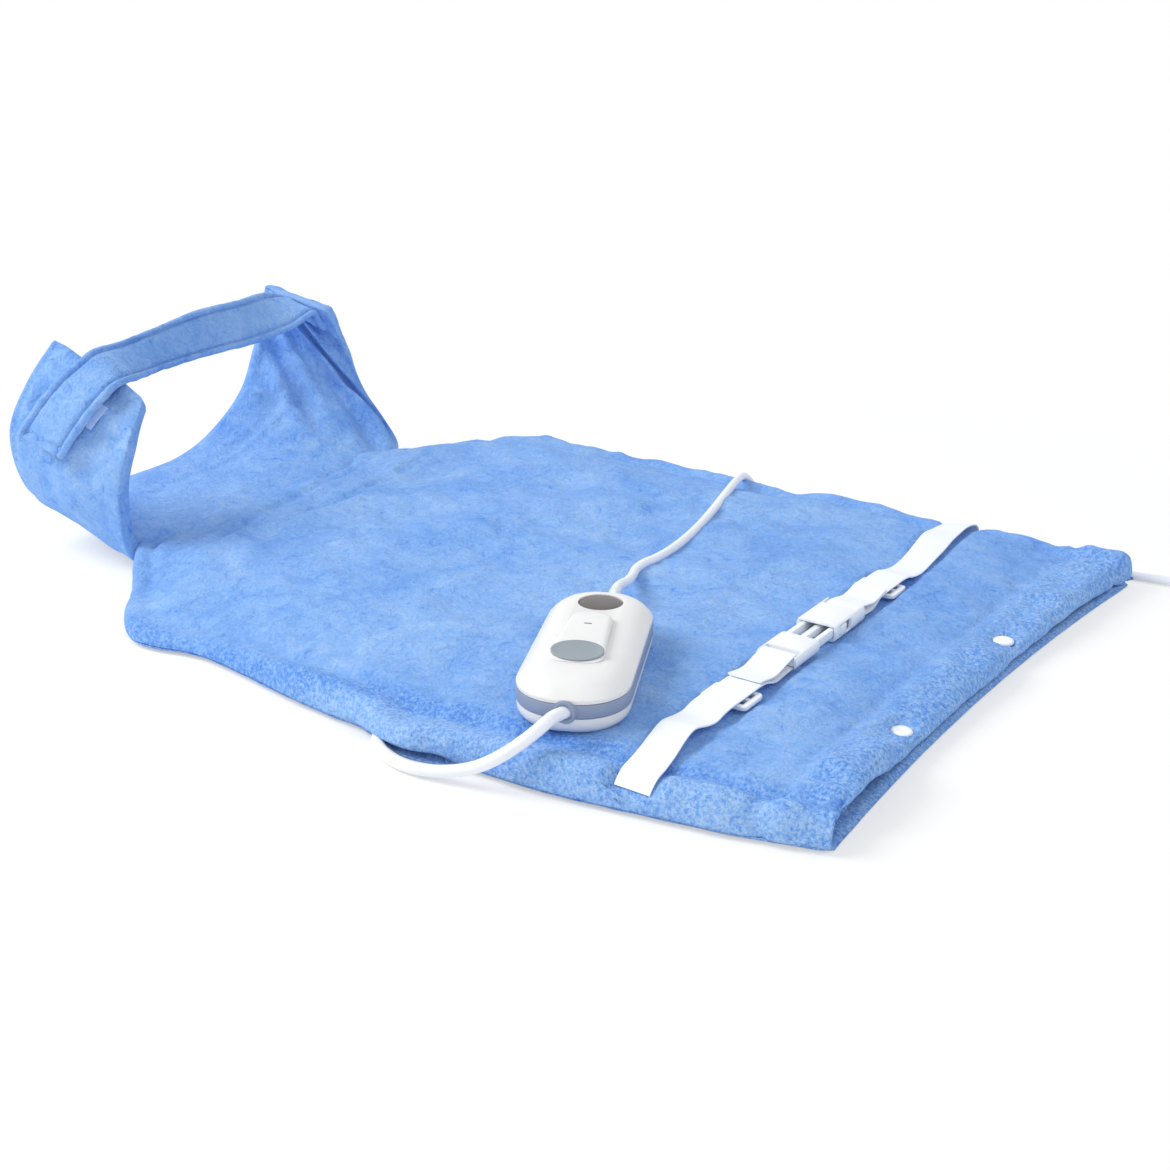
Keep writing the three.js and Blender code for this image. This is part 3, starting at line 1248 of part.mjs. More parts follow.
// Least clearance between turns that are more than half a turn apart along the tube
function leastSelfGap(points) {
  let least = Infinity;
  for (let a = 0; a < points.length; a += 1) {
    for (let b = a + COIL_STEPS / 2; b < points.length; b += 1) {
      least = Math.min(least, points[a].distanceTo(points[b]));
    }
  }
  return least - MAINS_DIAMETER;
}

function lengthOf(points) {
  return points.slice(1).reduce((sum, point, k) => sum + point.distanceTo(points[k]), 0);
}

function buildMains() {
  const coil = coilRoute();
  const start = fromCase(CASE_LENGTH / 2 + RELIEF_LENGTH + GAP, 0);
  const straight = fromCase(CASE_LENGTH / 2 + RELIEF_LENGTH + GAP + MAINS_DIAMETER, 0);
  const meet = coil[0].clone();
  meet.x -= GAP;
  const before = meet.clone();
  before.x -= MAINS_DIAMETER;
  const route = [start, straight, ...vectors(MAINS_ROUTE), before, meet];
  add(cords, 'mains_lead', cordAlong(route, MAINS_DIAMETER, 8, MAINS_STEPS), CORD_WHITE);
  add(cords, 'mains_coil', tubeAlong(coil, MAINS_DIAMETER / 2, COIL_SIDES), CORD_WHITE);
  console.log('coil least self gap mm', leastSelfGap(coil).toFixed(2));
  console.log('mains length mm', (lengthOf(route) + lengthOf(coil)).toFixed(0));
  return coil[coil.length - 1];
}

function buildTie() {
  const inner = COIL_RADIUS - COIL_PITCH * COIL_TURNS.inward - MAINS_DIAMETER / 2 - 2 * GAP;
  const outer = COIL_RADIUS + MAINS_DIAMETER / 2 + GAP;
  const top = COIL_LIFT + COIL_PITCH + MAINS_DIAMETER + GAP;
  const base = COIL_LIFT - GAP;
  const ring = (grow) => roundedRing((outer - inner) / 2 + grow, (top - base) / 2 + grow, 2 + grow)
    .map((point) => new THREE.Vector2(point.x + (inner + outer) / 2, point.y + (top + base) / 2));
  const shape = new THREE.Shape(ring(TIE_THICK));
  shape.holes.push(new THREE.Path(ring(0)));
  const band = new THREE.ExtrudeGeometry(shape, { depth: TIE_WIDTH, bevelEnabled: false });
  band.rotateX(Math.PI / 2).translate(0, TIE_WIDTH / 2, 0).rotateZ(degrees(TIE_ANGLE));
  add(cords, 'cord_tie', band.translate(COIL_START.x, COIL_MIDDLE_Y, 0), PART_BLACK);
}

function buildPlug(cordEnd) {
  const y = cordEnd.y - GAP;
  const face = y - PLUG_LENGTH;
  const outline = [
    [PLUG_NECK / 2, y], [PLUG_NECK / 2, y - 6], [PLUG_WIDTH / 2, y - 16], [PLUG_WIDTH / 2, face],
    [-PLUG_WIDTH / 2, face], [-PLUG_WIDTH / 2, y - 16], [-PLUG_NECK / 2, y - 6], [-PLUG_NECK / 2, y],
  ].map(([x, place]) => new THREE.Vector2(cordEnd.x + x, place));
  add(cords, 'plug_body', prism(outline.reverse(), GAP, GAP + PLUG_THICK), CORD_WHITE);
  for (const [index, side] of [[1, -1], [2, 1]]) {
    const pin = turned([
      [0, 0],
      [PIN_RADIUS, 0],
      [PIN_RADIUS, PIN_LENGTH - 1.5],
      [PIN_RADIUS * 0.5, PIN_LENGTH],
      [0, PIN_LENGTH],
    ], 12);
    const x = cordEnd.x + (side * PIN_SPACING) / 2;
    const placed = pin.rotateX(Math.PI / 2).translate(x, face - GAP, GAP + PLUG_THICK / 2);
    add(cords, `plug_pin_${index}`, placed, STEEL);
  }
}

controller.position.set(CASE_PLACE.x, CASE_PLACE.y, CASE_PLACE.z);
controller.rotation.z = degrees(CASE_TURN);
controller.updateMatrix();

buildCover();
buildSnaps();
buildInsert();
buildCollar();
buildBelt();
buildBase();
buildBand();
buildLid();
buildSlider();
buildBoard();
buildFittings();
buildPadLead();
const cordEnd = buildMains();
buildTie();
buildPlug(cordEnd);

// The origin goes under the middle of the pad, measured without its cords
const bounds = new THREE.Box3().setFromObject(object);
part.position.x = -(bounds.min.x + bounds.max.x) / 2;
part.position.y = -(bounds.min.y + bounds.max.y) / 2;
part.position.z = -bounds.min.z;
part.updateMatrixWorld(true);
console.log('moved by mm', part.position.toArray().map((value) => value.toFixed(3)).join(' '));

export default part;
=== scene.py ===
import math
import bpy
import numpy as np
from mathutils import Matrix, Vector


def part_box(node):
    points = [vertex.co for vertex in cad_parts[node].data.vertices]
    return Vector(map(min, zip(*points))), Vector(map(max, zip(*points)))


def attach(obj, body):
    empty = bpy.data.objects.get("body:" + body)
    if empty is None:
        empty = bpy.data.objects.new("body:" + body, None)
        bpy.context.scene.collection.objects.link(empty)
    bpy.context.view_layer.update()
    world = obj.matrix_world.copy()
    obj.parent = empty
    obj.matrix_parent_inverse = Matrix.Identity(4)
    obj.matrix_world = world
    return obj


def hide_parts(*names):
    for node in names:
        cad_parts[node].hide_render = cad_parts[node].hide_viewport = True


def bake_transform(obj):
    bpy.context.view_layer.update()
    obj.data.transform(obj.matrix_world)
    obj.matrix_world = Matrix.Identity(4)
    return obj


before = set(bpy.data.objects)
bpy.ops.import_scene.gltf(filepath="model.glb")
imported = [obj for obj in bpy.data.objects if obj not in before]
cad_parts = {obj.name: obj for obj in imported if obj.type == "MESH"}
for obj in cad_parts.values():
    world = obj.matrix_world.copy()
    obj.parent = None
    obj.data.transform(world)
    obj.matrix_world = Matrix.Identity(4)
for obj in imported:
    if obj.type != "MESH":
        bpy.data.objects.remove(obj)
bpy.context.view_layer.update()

# The pad was drawn with its hem's middle at the origin, in millimetres. This is where that point lies in the frame.
HEM_MIDDLE = np.array([321.202, 2.691, 0.0])
MM = 0.001


def lay(points):
    """Places measured from the middle of the hem in millimetres, in the frame's metres."""
    return (np.asarray(points, float) + HEM_MIDDLE) * MM


# The camera stands where the photograph was taken from
CAMERA_TURN = math.radians(34.3)
CAMERA_RISE = math.radians(22.0)
CAMERA_DISTANCE = 1.031
CAMERA_TARGET = (-282, 11, 0)
CAMERA_LENS = 49.17

# Pad outline and heights
HEM_WIDTH = 404
SHOULDER_WIDTH = 420
SIDE_BOW = 20
PAD_LENGTH = 455
SHOULDER_DEPTH = 85
NECK_WIDTH = 264
SHOULDER_ROUND = 6
# How far the near and the far side stand out from their bow, at shares of the pad's length from the hem
SIDE_EASE = np.array([
    (0, -4, 6), (0.13, 1, 5), (0.33, 5.5, -4), (0.6, -1, -2), (0.86, -8, 5), (1, 9, 9), (1.19, 4, 5),
])
NECK_X = -540
RIM_Z = 3.3
EDGE_ROLL = 16
EDGE_HEIGHT = 13.7
CROWN = 3.2
HEM_SETBACK = 3
HEM_DRAWN = 8
HEM_CORNERS = (-4, 8)
HEM_BAND = 28
MOUTH_BLEND = 70
MOUTH_MARKS = np.array([(-202, 17), (-144, 24), (-86, 14), (-18, 16.5), (50, 14), (126, 18), (202, 19.5)])
# Broad soft folds of the cover: place, turn from the pad's length, reach, width and rise
FOLDS = [
    (-440, 160, 0, 80, 60, 6), (-470, -60, 70, 90, 24, 3.5), (-405, -30, 60, 90, 24, 3),
    (-345, 60, 75, 100, 26, 3), (-330, -120, 35, 60, 26, 2.5),
]
SNAP_INSET = 9
SNAP_YS = {"near": -86, "far": 50}

# Controller: its place and sizes
CASE_PLACE = (-174, -144.5, 20.7)
CASE_TURN = math.radians(114.3)
CASE_LENGTH = 133
CASE_NEAR_WIDTH = 59
CASE_FAR_WIDTH = 57
CASE_CORNER = 26
CORD_HEIGHT = 15.3

# Belt
BELT_X = -100
WEB_WIDTH = 20
WEB_THICK = 1.4
# The belt's ends and slack as places across the pad and heights, and the height that the cover keeps under them
NEAR_START = [(-216.4, 12.4), (-214.6, 14.6), (-209, 18.2)]
NEAR_WAVE = [(-201, 19.8), (-191, 22), (-181, 24.6), (-170, 26.4), (-158, 24.2)]
FAR_START = [(218.5, 10), (215, 14.6), (209.5, 17.8)]
FAR_WAVE = [(193, 21.2), (177, 22.8), (160, 24.4), (140, 23.2), (118, 21.9), (100, 21.6)]
BELT_UNDER = np.array([
    (-221.5, 30), (-219.5, 8), (-216.4, 10.6), (-209, 16.2), (-201, 18.3), (-191, 19.8), (118, 20.2),
    (193, 19.4), (209, 16), (219, 8),
])

# Cords
PAD_LEAD_DIAMETER = 6.6
MAINS_DIAMETER = 5.8
CORD_SPACING = 3.0
# The pad lead leaves the case at a slant. Each cord starts at these distances from the case's end.
LEAD_TURN = math.radians(35)
LEAD_STARTS = (-3, 1.5, 8.1)
MAINS_STARTS = (24.3, 30.1)
COIL_MEETS = (11.9, 6.1)
PAD_LEAD_ROUTE = [
    (-149.6, -219.4, 33.6), (-152.8, -225.4, 29.6), (-158.4, -231, 24), (-166.4, -235.6, 17.6), (-176, -239, 11.8),
    (-187, -241.8, 7.6), (-199, -244, 4.8), (-212, -245.6, 3.6), (-225, -244.4, 3.5), (-237, -239.4, 3.6),
    (-246, -231.6, 4), (-250.5, -222.6, 5), (-251.5, -213, 6.5),
]
MAINS_ROUTE = [
    (-217.4, -46, 34.2), (-222, -31.6, 30.6), (-228.8, -16, 27.2), (-235.4, -1, 25.4), (-237.6, 11, 24.6),
    (-236.6, 22, 24.3), (-236.8, 42, 24.2), (-242.4, 80, 24.1), (-254, 126, 23.7), (-264.6, 161.6, 23),
    (-274, 194, 22), (-277.6, 207, 21), (-279.5, 217, 18.4), (-279.6, 222.8, 14.2), (-277.4, 226.6, 9.2),
    (-271.6, 230, 5), (-262, 232.6, 3.4), (-249, 234.4, 3),
    (-200, 234, 3), (-150, 230.8, 3), (-100, 226, 3), (-60, 221.6, 3), (-22, 218.2, 3), (6, 218.8, 3),
    (34, 222.4, 3.2), (66, 224.8, 3.8), (96, 225.2, 4.4),
]
COIL_START = (122, 225.2)
COIL_RADIUS = 45
COIL_PITCH = 6.5
COIL_INWARD = 3.25
COIL_OUTWARD = 3
COIL_STEPS = 24
COIL_LOW = 4.4
TAIL_LENGTH = 36
PLUG_MIDDLE = 7.1


def smoothstep(value, low, high):
    t = np.clip((np.asarray(value, float) - low) / (high - low), 0, 1)
    return t * t * (3 - 2 * t)


def smooth_curve(points, places):
    """Centripetal spline through the points, read at places from 0 to 1."""
    points = np.asarray(points, float)
    ends = [2 * points[0] - points[1], *points, 2 * points[-1] - points[-2]]
    along = np.clip(np.asarray(places, float), 0, 1) * (len(points) - 1)
    found = []
    for place in along:
        k = min(int(place), len(points) - 2)
        p0, p1, p2, p3 = ends[k:k + 4]
        d0, d1, d2 = (max(np.linalg.norm(b - a) ** 0.5, 1e-4) for a, b in ((p0, p1), (p1, p2), (p2, p3)))
        m1 = ((p1 - p0) / d0 - (p2 - p0) / (d0 + d1) + (p2 - p1) / d1) * d1
        m2 = ((p2 - p1) / d1 - (p3 - p1) / (d1 + d2) + (p3 - p2) / d2) * d1
        t = place - k
        a = 2 * p1 - 2 * p2 + m1 + m2
        b = -3 * p1 + 3 * p2 - 2 * m1 - m2
        found.append(((a * t + b) * t + m1) * t + p1)
    return np.array(found)


def columns(*parts):
    return np.stack(parts, axis=1)


def unit(rows):
    """The same directions, each of length 1."""
    return rows / np.linalg.norm(rows, axis=1, keepdims=True)


def run_along(line):
    """How far along the line each of its points lies."""
    return np.concatenate([[0], np.cumsum(np.linalg.norm(np.diff(line, axis=0), axis=1))])


def even_steps(points, spacing):
    """The same line with its points evenly spaced."""
    run = run_along(points)
    marks = np.linspace(0, run[-1], max(int(run[-1] / spacing), 2) + 1)
    return columns(*(np.interp(marks, run, points[:, axis]) for axis in range(3)))


def from_case(x, y, z=CORD_HEIGHT):
    """A place in the controller's own frame, measured from the hem's middle."""
    c, s = math.cos(CASE_TURN), math.sin(CASE_TURN)
    return (CASE_PLACE[0] + c * x - s * y, CASE_PLACE[1] + s * x + c * y, CASE_PLACE[2] + z)


def eased(places, values, at):
    """Values at places, read between them along half waves."""
    k = np.clip(np.searchsorted(places, at, side="right") - 1, 0, len(places) - 2)
    t = np.clip((at - places[k]) / (places[k + 1] - places[k]), 0, 1)
    return values[k] + (values[k + 1] - values[k]) * (1 - np.cos(math.pi * t)) / 2


def half_width(x, y):
    """From the pad's middle line to its edge on the side of y."""
    run = -np.asarray(x, float) / PAD_LENGTH
    t = np.minimum(run, 1)
    side = (HEM_WIDTH + (SHOULDER_WIDTH - HEM_WIDTH) * t) / 2 + SIDE_BOW * 4 * t * (1 - t)
    slope = (SHOULDER_WIDTH - NECK_WIDTH) / 2 / SHOULDER_DEPTH
    shoulder = NECK_WIDTH / 2 + slope * (x - NECK_X)
    share, near, far = SIDE_EASE.T
    ease = np.where(np.asarray(y) < 0, eased(share, near, run), eased(share, far, run))
    return ease - SHOULDER_ROUND * np.log(np.exp(-side / SHOULDER_ROUND) + np.exp(-shoulder / SHOULDER_ROUND))


def hem_line(y):
    """The hem is drawn in between its corners."""
    v = 2 * y / HEM_WIDTH
    near, far = HEM_CORNERS
    return -HEM_DRAWN + (far - near) / 2 * v + ((far + near) / 2 + HEM_DRAWN) * v * v


def hem_shift(x, y):
    return hem_line(y) * smoothstep(x, -MOUTH_BLEND, -HEM_SETBACK)


def before_shift(x, y):
    """Where a place of the cover lay before the hem was drawn in."""
    found = np.asarray(x, float)
    for _ in range(5):
        found = x - hem_shift(found, y)
    return found


def fold_height(x, y):
    total = 0.0
    for fold_x, fold_y, turn, reach, width, rise in FOLDS:
        c, s = math.cos(math.radians(turn)), math.sin(math.radians(turn))
        along = (c * (x - fold_x) + s * (y - fold_y)) / reach
        across = (c * (y - fold_y) - s * (x - fold_x)) / width
        total = total + rise * np.exp(-along ** 2 - across ** 2)
    return total


def pad_lead_line():
    c, s = math.cos(LEAD_TURN), math.sin(LEAD_TURN)
    leave = [from_case(-CASE_LENGTH / 2 - reach * c, reach * s) for reach in LEAD_STARTS]
    return even_steps(smooth_curve([*leave, *PAD_LEAD_ROUTE], np.linspace(0, 1, 400)), CORD_SPACING)


def coil_line():
    turns = COIL_INWARD + COIL_OUTWARD
    turn = np.linspace(0, turns, int(turns * COIL_STEPS * 2) + 1)
    past = turn - COIL_INWARD
    radius = COIL_RADIUS - COIL_PITCH * (COIL_INWARD - np.abs(past))
    angle = math.pi / 2 - 2 * math.pi * turn
    x = COIL_START[0] + radius * np.cos(angle)
    y = COIL_START[1] - COIL_RADIUS + radius * np.sin(angle)
    z = COIL_LOW + COIL_PITCH * smoothstep(past, -0.25, 0.25)
    coil = columns(x, y, z)
    share = np.linspace(0.05, 1, 20)
    tail = np.tile(coil[-1], (20, 1))
    tail[:, 1] -= TAIL_LENGTH * share
    tail[:, 2] += (PLUG_MIDDLE - coil[-1][2]) * smoothstep(share, 0.4, 0.85)
    return np.concatenate([coil, tail])


def mains_line():
    coil = coil_line()
    start = [from_case(CASE_LENGTH / 2 + reach, 0) for reach in MAINS_STARTS]
    before = [(coil[0][0] - reach, coil[0][1], coil[0][2]) for reach in COIL_MEETS]
    free = smooth_curve([*start, *MAINS_ROUTE, *before], np.linspace(0, 1, 900))
    return even_steps(np.concatenate([free, coil]), CORD_SPACING)


def linked(name, data):
    """A new object in the scene."""
    piece = bpy.data.objects.new(name, data)
    bpy.context.collection.objects.link(piece)
    return piece


def round_cord(name, line, diameter):
    data = bpy.data.curves.new(name, "CURVE")
    data.dimensions = "3D"
    spline = data.splines.new("POLY")
    spline.points.add(len(line) - 1)
    spline.points.foreach_set("co", np.concatenate([lay(line), np.ones((len(line), 1))], axis=1).ravel())
    spline.use_smooth = True
    data.bevel_depth = diameter * MM / 2
    data.bevel_resolution = 6
    data.use_fill_caps = True
    return linked(name, data)


# Materials

def linear(code):
    """A hex colour as it is written on screen, in linear light."""
    parts = [int(code[k:k + 2], 16) / 255 for k in (1, 3, 5)]
    return tuple(v / 12.92 if v <= 0.04045 else ((v + 0.055) / 1.055) ** 2.4 for v in parts) + (1.0,)


def add(material, kind, settings=None, **inputs):
    """Adds a node. An input is a value, or another node's output that is linked to it. i0 is its first input."""
    tree = material.node_tree
    node = tree.nodes.new("ShaderNode" + kind)
    for key, value in (settings or {}).items():
        setattr(node, key, value)
    for key, value in inputs.items():
        numbered = key[0] == "i" and key[1:].isdigit()
        socket = node.inputs[int(key[1:]) if numbered else key.replace("_", " ")]
        if isinstance(value, bpy.types.NodeSocket):
            tree.links.new(value, socket)
        else:
            socket.default_value = value
    return node


def maths(material, operation, *values, **settings):
    inputs = {"i%d" % k: value for k, value in enumerate(values)}
    return add(material, "Math", {"operation": operation, **settings}, **inputs).outputs[0]


def ranged(material, value, low, high, to_low=0.0, to_high=1.0, **settings):
    """A value that goes from to_low to to_high as the given one goes from low to high."""
    return add(material, "MapRange", settings, i0=value, i1=low, i2=high, i3=to_low, i4=to_high).outputs[0]


def mixture(material, share, first, second):
    return add(material, "Mix", {"data_type": "FLOAT"}, i0=share, i2=first, i3=second).outputs[0]


def noise(material, place, scale, **values):
    return add(material, "TexNoise", Vector=place, Scale=scale, **values).outputs[0]


def bumped(material, height, strength, distance, **values):
    return add(material, "Bump", Strength=strength, Distance=distance, Height=height, **values).outputs[0]


def seen_directly(material):
    """1 for rays from the camera, also in a mirror or through glass, and 0 for the light that falls on things."""
    path = add(material, "LightPath").outputs
    mirrored = maths(material, "ADD", path["Is Glossy Ray"], path["Is Transmission Ray"])
    return maths(material, "ADD", path["Is Camera Ray"], mirrored, use_clamp=True)


def new_material(name):
    material = bpy.data.materials.new(name)
    material.use_nodes = True
    material.node_tree.nodes.clear()
    return material


def ramp(material, factor, stops):
    """Colours along a value: stops are (place, hex)."""
    node = add(material, "ValToRGB", Fac=factor)
    elements = node.color_ramp.elements
    while len(elements) < len(stops):
        elements.new(0.5)
    for element, (place, code) in zip(elements, stops):
        element.position = place
        element.color = linear(code)
    return node.outputs[0]


def shade(material, colour, bump, **values):
    """Ends a material: a Principled shader with its fixed values on its own sockets."""
    shader = add(material, "BsdfPrincipled", Base_Color=colour, Normal=bump, **values)
    add(material, "OutputMaterial", Surface=shader.outputs[0])
    return material


# How much the tufts count in the tone of the plain cover, of the hem band and of the near edge
TUFTS_PLAIN, TUFTS_HEM, TUFTS_EDGE = 0.16, 0.62, 0.55


def plush(name, light, middle, dark):
    """Short-pile coral fleece: soft, brushed this way and that, so patches of the pile shine lighter or darker.
    The single fibres, 0.1 mm thick, are too fine to show, so tufts of about 2 mm stand for them. In the hem band,
    where the cloth is doubled, and along the near edge they stand up more. Painted shade darkens the valley behind
    that edge, and a painted highlight lightens the edge's crest."""
    m = new_material(name)
    place = add(m, "TexCoord").outputs["Object"]
    x, y, _ = add(m, "SeparateXYZ", Vector=place).outputs
    hem, near = float(lay((-HEM_BAND, 0, 0))[0]), float(lay((0, -HEM_WIDTH / 2, 0))[1])
    run = ranged(m, x, float(lay((0, 0, 0))[0]), float(lay((-PAD_LENGTH, 0, 0))[0]))
    bow = maths(m, "MULTIPLY", run, maths(m, "SUBTRACT", 1.0, run))
    across = maths(m, "ADD", y, ranged(m, run, 0.4, 1.0, 0.004, 0.03))
    inward = maths(m, "MULTIPLY_ADD", bow, 4 * SIDE_BOW * MM, across)
    behind = near + 0.034, near + 0.022
    at_hem = ranged(m, x, hem - 0.008, hem + 0.006, TUFTS_PLAIN, TUFTS_HEM)
    raised = maths(m, "MAXIMUM", at_hem, ranged(m, inward, *behind, TUFTS_PLAIN, TUFTS_EDGE))
    # Painted highlight: a lighter band along the crest of the near edge
    crest_painted_highlight = ranged(m, inward, near + 0.017, near + 0.01, 0.0, 0.15)
    # Painted shade: the valley behind the near edge is darkened, less the crest's painted highlight
    painted_edge_shading = maths(m, "SUBTRACT", ranged(m, inward, *behind, 0.0, 0.1), crest_painted_highlight)
    patches = noise(m, place, 20.0, Detail=5.0, Roughness=0.6, Distortion=0.6)
    streaks = noise(m, place, 115.0, Detail=4.0, Roughness=0.68, Distortion=1.2)
    tufts = noise(m, place, 480.0, Detail=3.0, Roughness=0.75)
    parted = ranged(m, streaks, 0.36, 0.27, 0.0, 0.16)
    mixed = mixture(m, raised, mixture(m, 0.45, patches, streaks), ranged(m, tufts, 0.32, 0.68, 0.12, 0.88))
    level = maths(m, "SUBTRACT", mixed, maths(m, "ADD", parted, painted_edge_shading))
    colour = ramp(m, level, [(0.3, dark), (0.49, middle), (0.68, light)])
    pile = bumped(m, tufts, 0.9, 0.0013, Normal=bumped(m, streaks, 0.7, 0.0024))
    return shade(m, colour, pile, Roughness=0.95, Specular_IOR_Level=0.1, Sheen_Weight=0.45, Sheen_Roughness=0.5,
                 Sheen_Tint=linear("#A8CCFF"))


# A wave texture of scale 1 repeats after this length
WAVE_PERIOD = math.pi / 10
WEFT_GAP, WARP_GAP = 0.0018, 0.0016
SPARK_SIZE, SPARK_DEPTH = 0.0006, 0.00004


def webbing(name, light, plain=False):
    """Woven tape: ribs across the band where the weft passes, a fine warp along it, and a little uneven wear."""
    m = new_material(name)
    place = add(m, "UVMap").outputs[0]
    threads = [add(m, "TexWave", {"bands_direction": way}, Vector=place, Scale=WAVE_PERIOD / gap, Distortion=0.0)
               for way, gap in (("X", WEFT_GAP), ("Y", WARP_GAP))]
    weave = maths(m, "MULTIPLY", *(thread.outputs["Fac"] for thread in threads))
    tone = mixture(m, 0.5, weave, noise(m, place, 40.0, Detail=3.0))
    colour = ramp(m, tone, [(0.0, light if plain else "#EEF2F9"), (0.6, light)])
    return shade(m, colour, bumped(m, weave, 0.2, 0.0002), Roughness=0.7, Specular_IOR_Level=0.3)


def moulded(name, light, dark, roughness, **values):
    """Moulded plastic: even colour with a faint flow of tone, and a fine spark-eroded grain that softens its shine."""
    m = new_material(name)
    place = add(m, "TexCoord").outputs["Object"]
    colour = ramp(m, noise(m, place, 22.0, Detail=2.0), [(0.35, dark), (0.65, light)])
    bump = bumped(m, noise(m, place, 1 / SPARK_SIZE, Detail=2.0), 0.5, SPARK_DEPTH)
    return shade(m, colour, bump, Roughness=roughness, **values)


# Small modelling helpers

def mesh_piece(name, points, faces, uvs=None):
    """A mesh from points in the frame's metres. uvs gives one pair for each corner of each face."""
    mesh = bpy.data.meshes.new(name)
    mesh.from_pydata([tuple(p) for p in points], [], [tuple(int(k) for k in f) for f in faces])
    if uvs is not None:
        layer = mesh.uv_layers.new(name="UVMap")
        layer.data.foreach_set("uv", np.asarray(uvs, float).ravel())
    mesh.update()
    return linked(name, mesh)


def nothing_selected():
    bpy.ops.object.select_all(action="DESELECT")
    bpy.context.view_layer.objects.active = None


def only(piece):
    bpy.ops.object.select_all(action="DESELECT")
    piece.select_set(True)
    bpy.context.view_layer.objects.active = piece


def edit(piece):
    """Starts edit mode on that piece alone, with all of it selected."""
    only(piece)
    bpy.ops.object.mode_set(mode="EDIT")
    bpy.ops.mesh.select_all(action="SELECT")


def end_edit():
    bpy.ops.object.mode_set(mode="OBJECT")


def face_outward():
    """Turns every face of the piece in edit mode outward, and ends edit mode."""
    bpy.ops.mesh.select_all(action="SELECT")
    bpy.ops.mesh.normals_make_consistent(inside=False)
    end_edit()


def apply_modifier(piece, kind, **settings):
    only(piece)
    modifier = piece.modifiers.new(kind.lower(), kind)
    for key, value in settings.items():
        setattr(modifier, key, value)
    bpy.ops.object.modifier_apply(modifier=modifier.name)


def coordinates(piece):
    """A piece's points, measured from the hem's middle in millimetres."""
    found = np.empty(len(piece.data.vertices) * 3)
    piece.data.vertices.foreach_get("co", found)
    return found.reshape(-1, 3) / MM - HEM_MIDDLE


def set_coordinates(piece, points):
    piece.data.vertices.foreach_set("co", lay(points).ravel())
    piece.data.update()


def normals(piece):
    found = np.empty(len(piece.data.vertices) * 3)
    piece.data.vertices.foreach_get("normal", found)
    return found.reshape(-1, 3)


def smooth(piece, angle=None):
    only(piece)
    if angle is None:
        bpy.ops.object.shade_smooth()
    else:
        bpy.ops.object.shade_smooth_by_angle(angle=math.radians(angle))


def dress(piece, material, body, slot, *nodes):
    """Gives a finished piece its material, its body and the nodes that it stands for."""
    piece.data.materials.clear()
    piece.data.materials.append(material)
    if body:
        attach(piece, body)
    if nodes:
        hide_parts(*nodes)
    return piece


def waves(points, length, seed, count=16):
    """Smooth seeded noise of about unit size, with ripples about length apart."""
    rng = np.random.default_rng(seed)
    ways = unit(rng.normal(size=(count, points.shape[1])))
    ways *= 2 * math.pi / length * rng.uniform(0.6, 1.5, (count, 1))
    phase = rng.uniform(0, 2 * math.pi, count)
    return np.sin(points @ ways.T + phase).sum(axis=1) / math.sqrt(count / 2)


def ripples(points, sizes):
    """Waves of several sizes together, each given by its height, length and seed."""
    return sum(height * waves(points, length, seed) for height, length, seed in sizes)


def ridge(distance, width):
    return np.exp(-(distance / width) ** 2)


CLOTH = {
    "quality": 5, "mass": 0.3, "tension_stiffness": 15, "compression_stiffness": 15, "shear_stiffness": 5,
    "bending_stiffness": 0.6, "use_pressure": True, "uniform_pressure_force": 2.5, "vertex_group_mass": "pinned",
}
CLOTH_FRAMES = 20


def swell(piece, pinned, slack, cap):
    """Cloth simulation: the pinned points stay, the rest swells and creases, and no point moves further than cap."""
    before = coordinates(piece)
    group = piece.vertex_groups.new(name="pinned")
    group.add(np.flatnonzero(pinned).tolist(), 1.0, "REPLACE")
    only(piece)
    cloth = piece.modifiers.new("cloth", "CLOTH")
    for key, value in CLOTH.items():
        setattr(cloth.settings, key, value)
    cloth.settings.shrink_min = -slack
    cloth.settings.effector_weights.gravity = 0
    cloth.collision_settings.use_collision = False
    cloth.point_cache.frame_start = 1
    cloth.point_cache.frame_end = CLOTH_FRAMES
    for step in range(1, CLOTH_FRAMES + 1):
        bpy.context.scene.frame_set(step)
    bpy.ops.object.modifier_apply(modifier=cloth.name)
    bpy.context.scene.frame_set(1)
    piece.vertex_groups.clear()
    moved = coordinates(piece) - before
    length = np.linalg.norm(moved, axis=1, keepdims=True)
    moved *= cap * np.tanh(length / cap) / np.maximum(length, 1e-6)
    set_coordinates(piece, before + moved)


# Plush cover

def cover_height(x, y, roll):
    flat = EDGE_HEIGHT + CROWN * (1 - np.minimum(np.abs(y) / half_width(x, y), 1) ** 4) + fold_height(x, y)
    opened = smoothstep(x, -MOUTH_BLEND, -HEM_SETBACK)
    return RIM_Z + roll * (flat + (eased(*MOUTH_MARKS.T, y) - RIM_Z - flat) * opened)


def grid_piece(name, rows):
    """A sheet of faces between rows of places measured from the hem's middle."""
    width = len(rows[0])
    k = np.arange((len(rows) - 1) * (width - 1))
    a = k // (width - 1) * width + k % (width - 1)
    return mesh_piece(name, lay(np.concatenate(rows)), columns(a, a + 1, a + width + 1, a + width))


ROLL_STEPS = 8
COVER_STEP = 6
# The hem's lip rolls over and down: the height it comes down to across the pad, and the turns of its roll
LIP_MARKS = np.array([(-202, 13), (-160, 15), (-96, 5), (-18, 4.6), (50, 4.6), (126, 7.5), (202, 4.6)])
LIP_TURNS = np.radians((165, 138, 110, 82, 55, 28))
LIP_BULGE = 3.2
# The near edge hangs over the place where the pad lead goes in
HOOD_X, HOOD_WIDTH, HOOD_REACH = -232, 30, 13
# Two sewn lines run across the pad below the collar, each through two places
NECK_SEAMS = [((-528, 93), (-492, -110)), ((-489, 107), (-474, -60))]
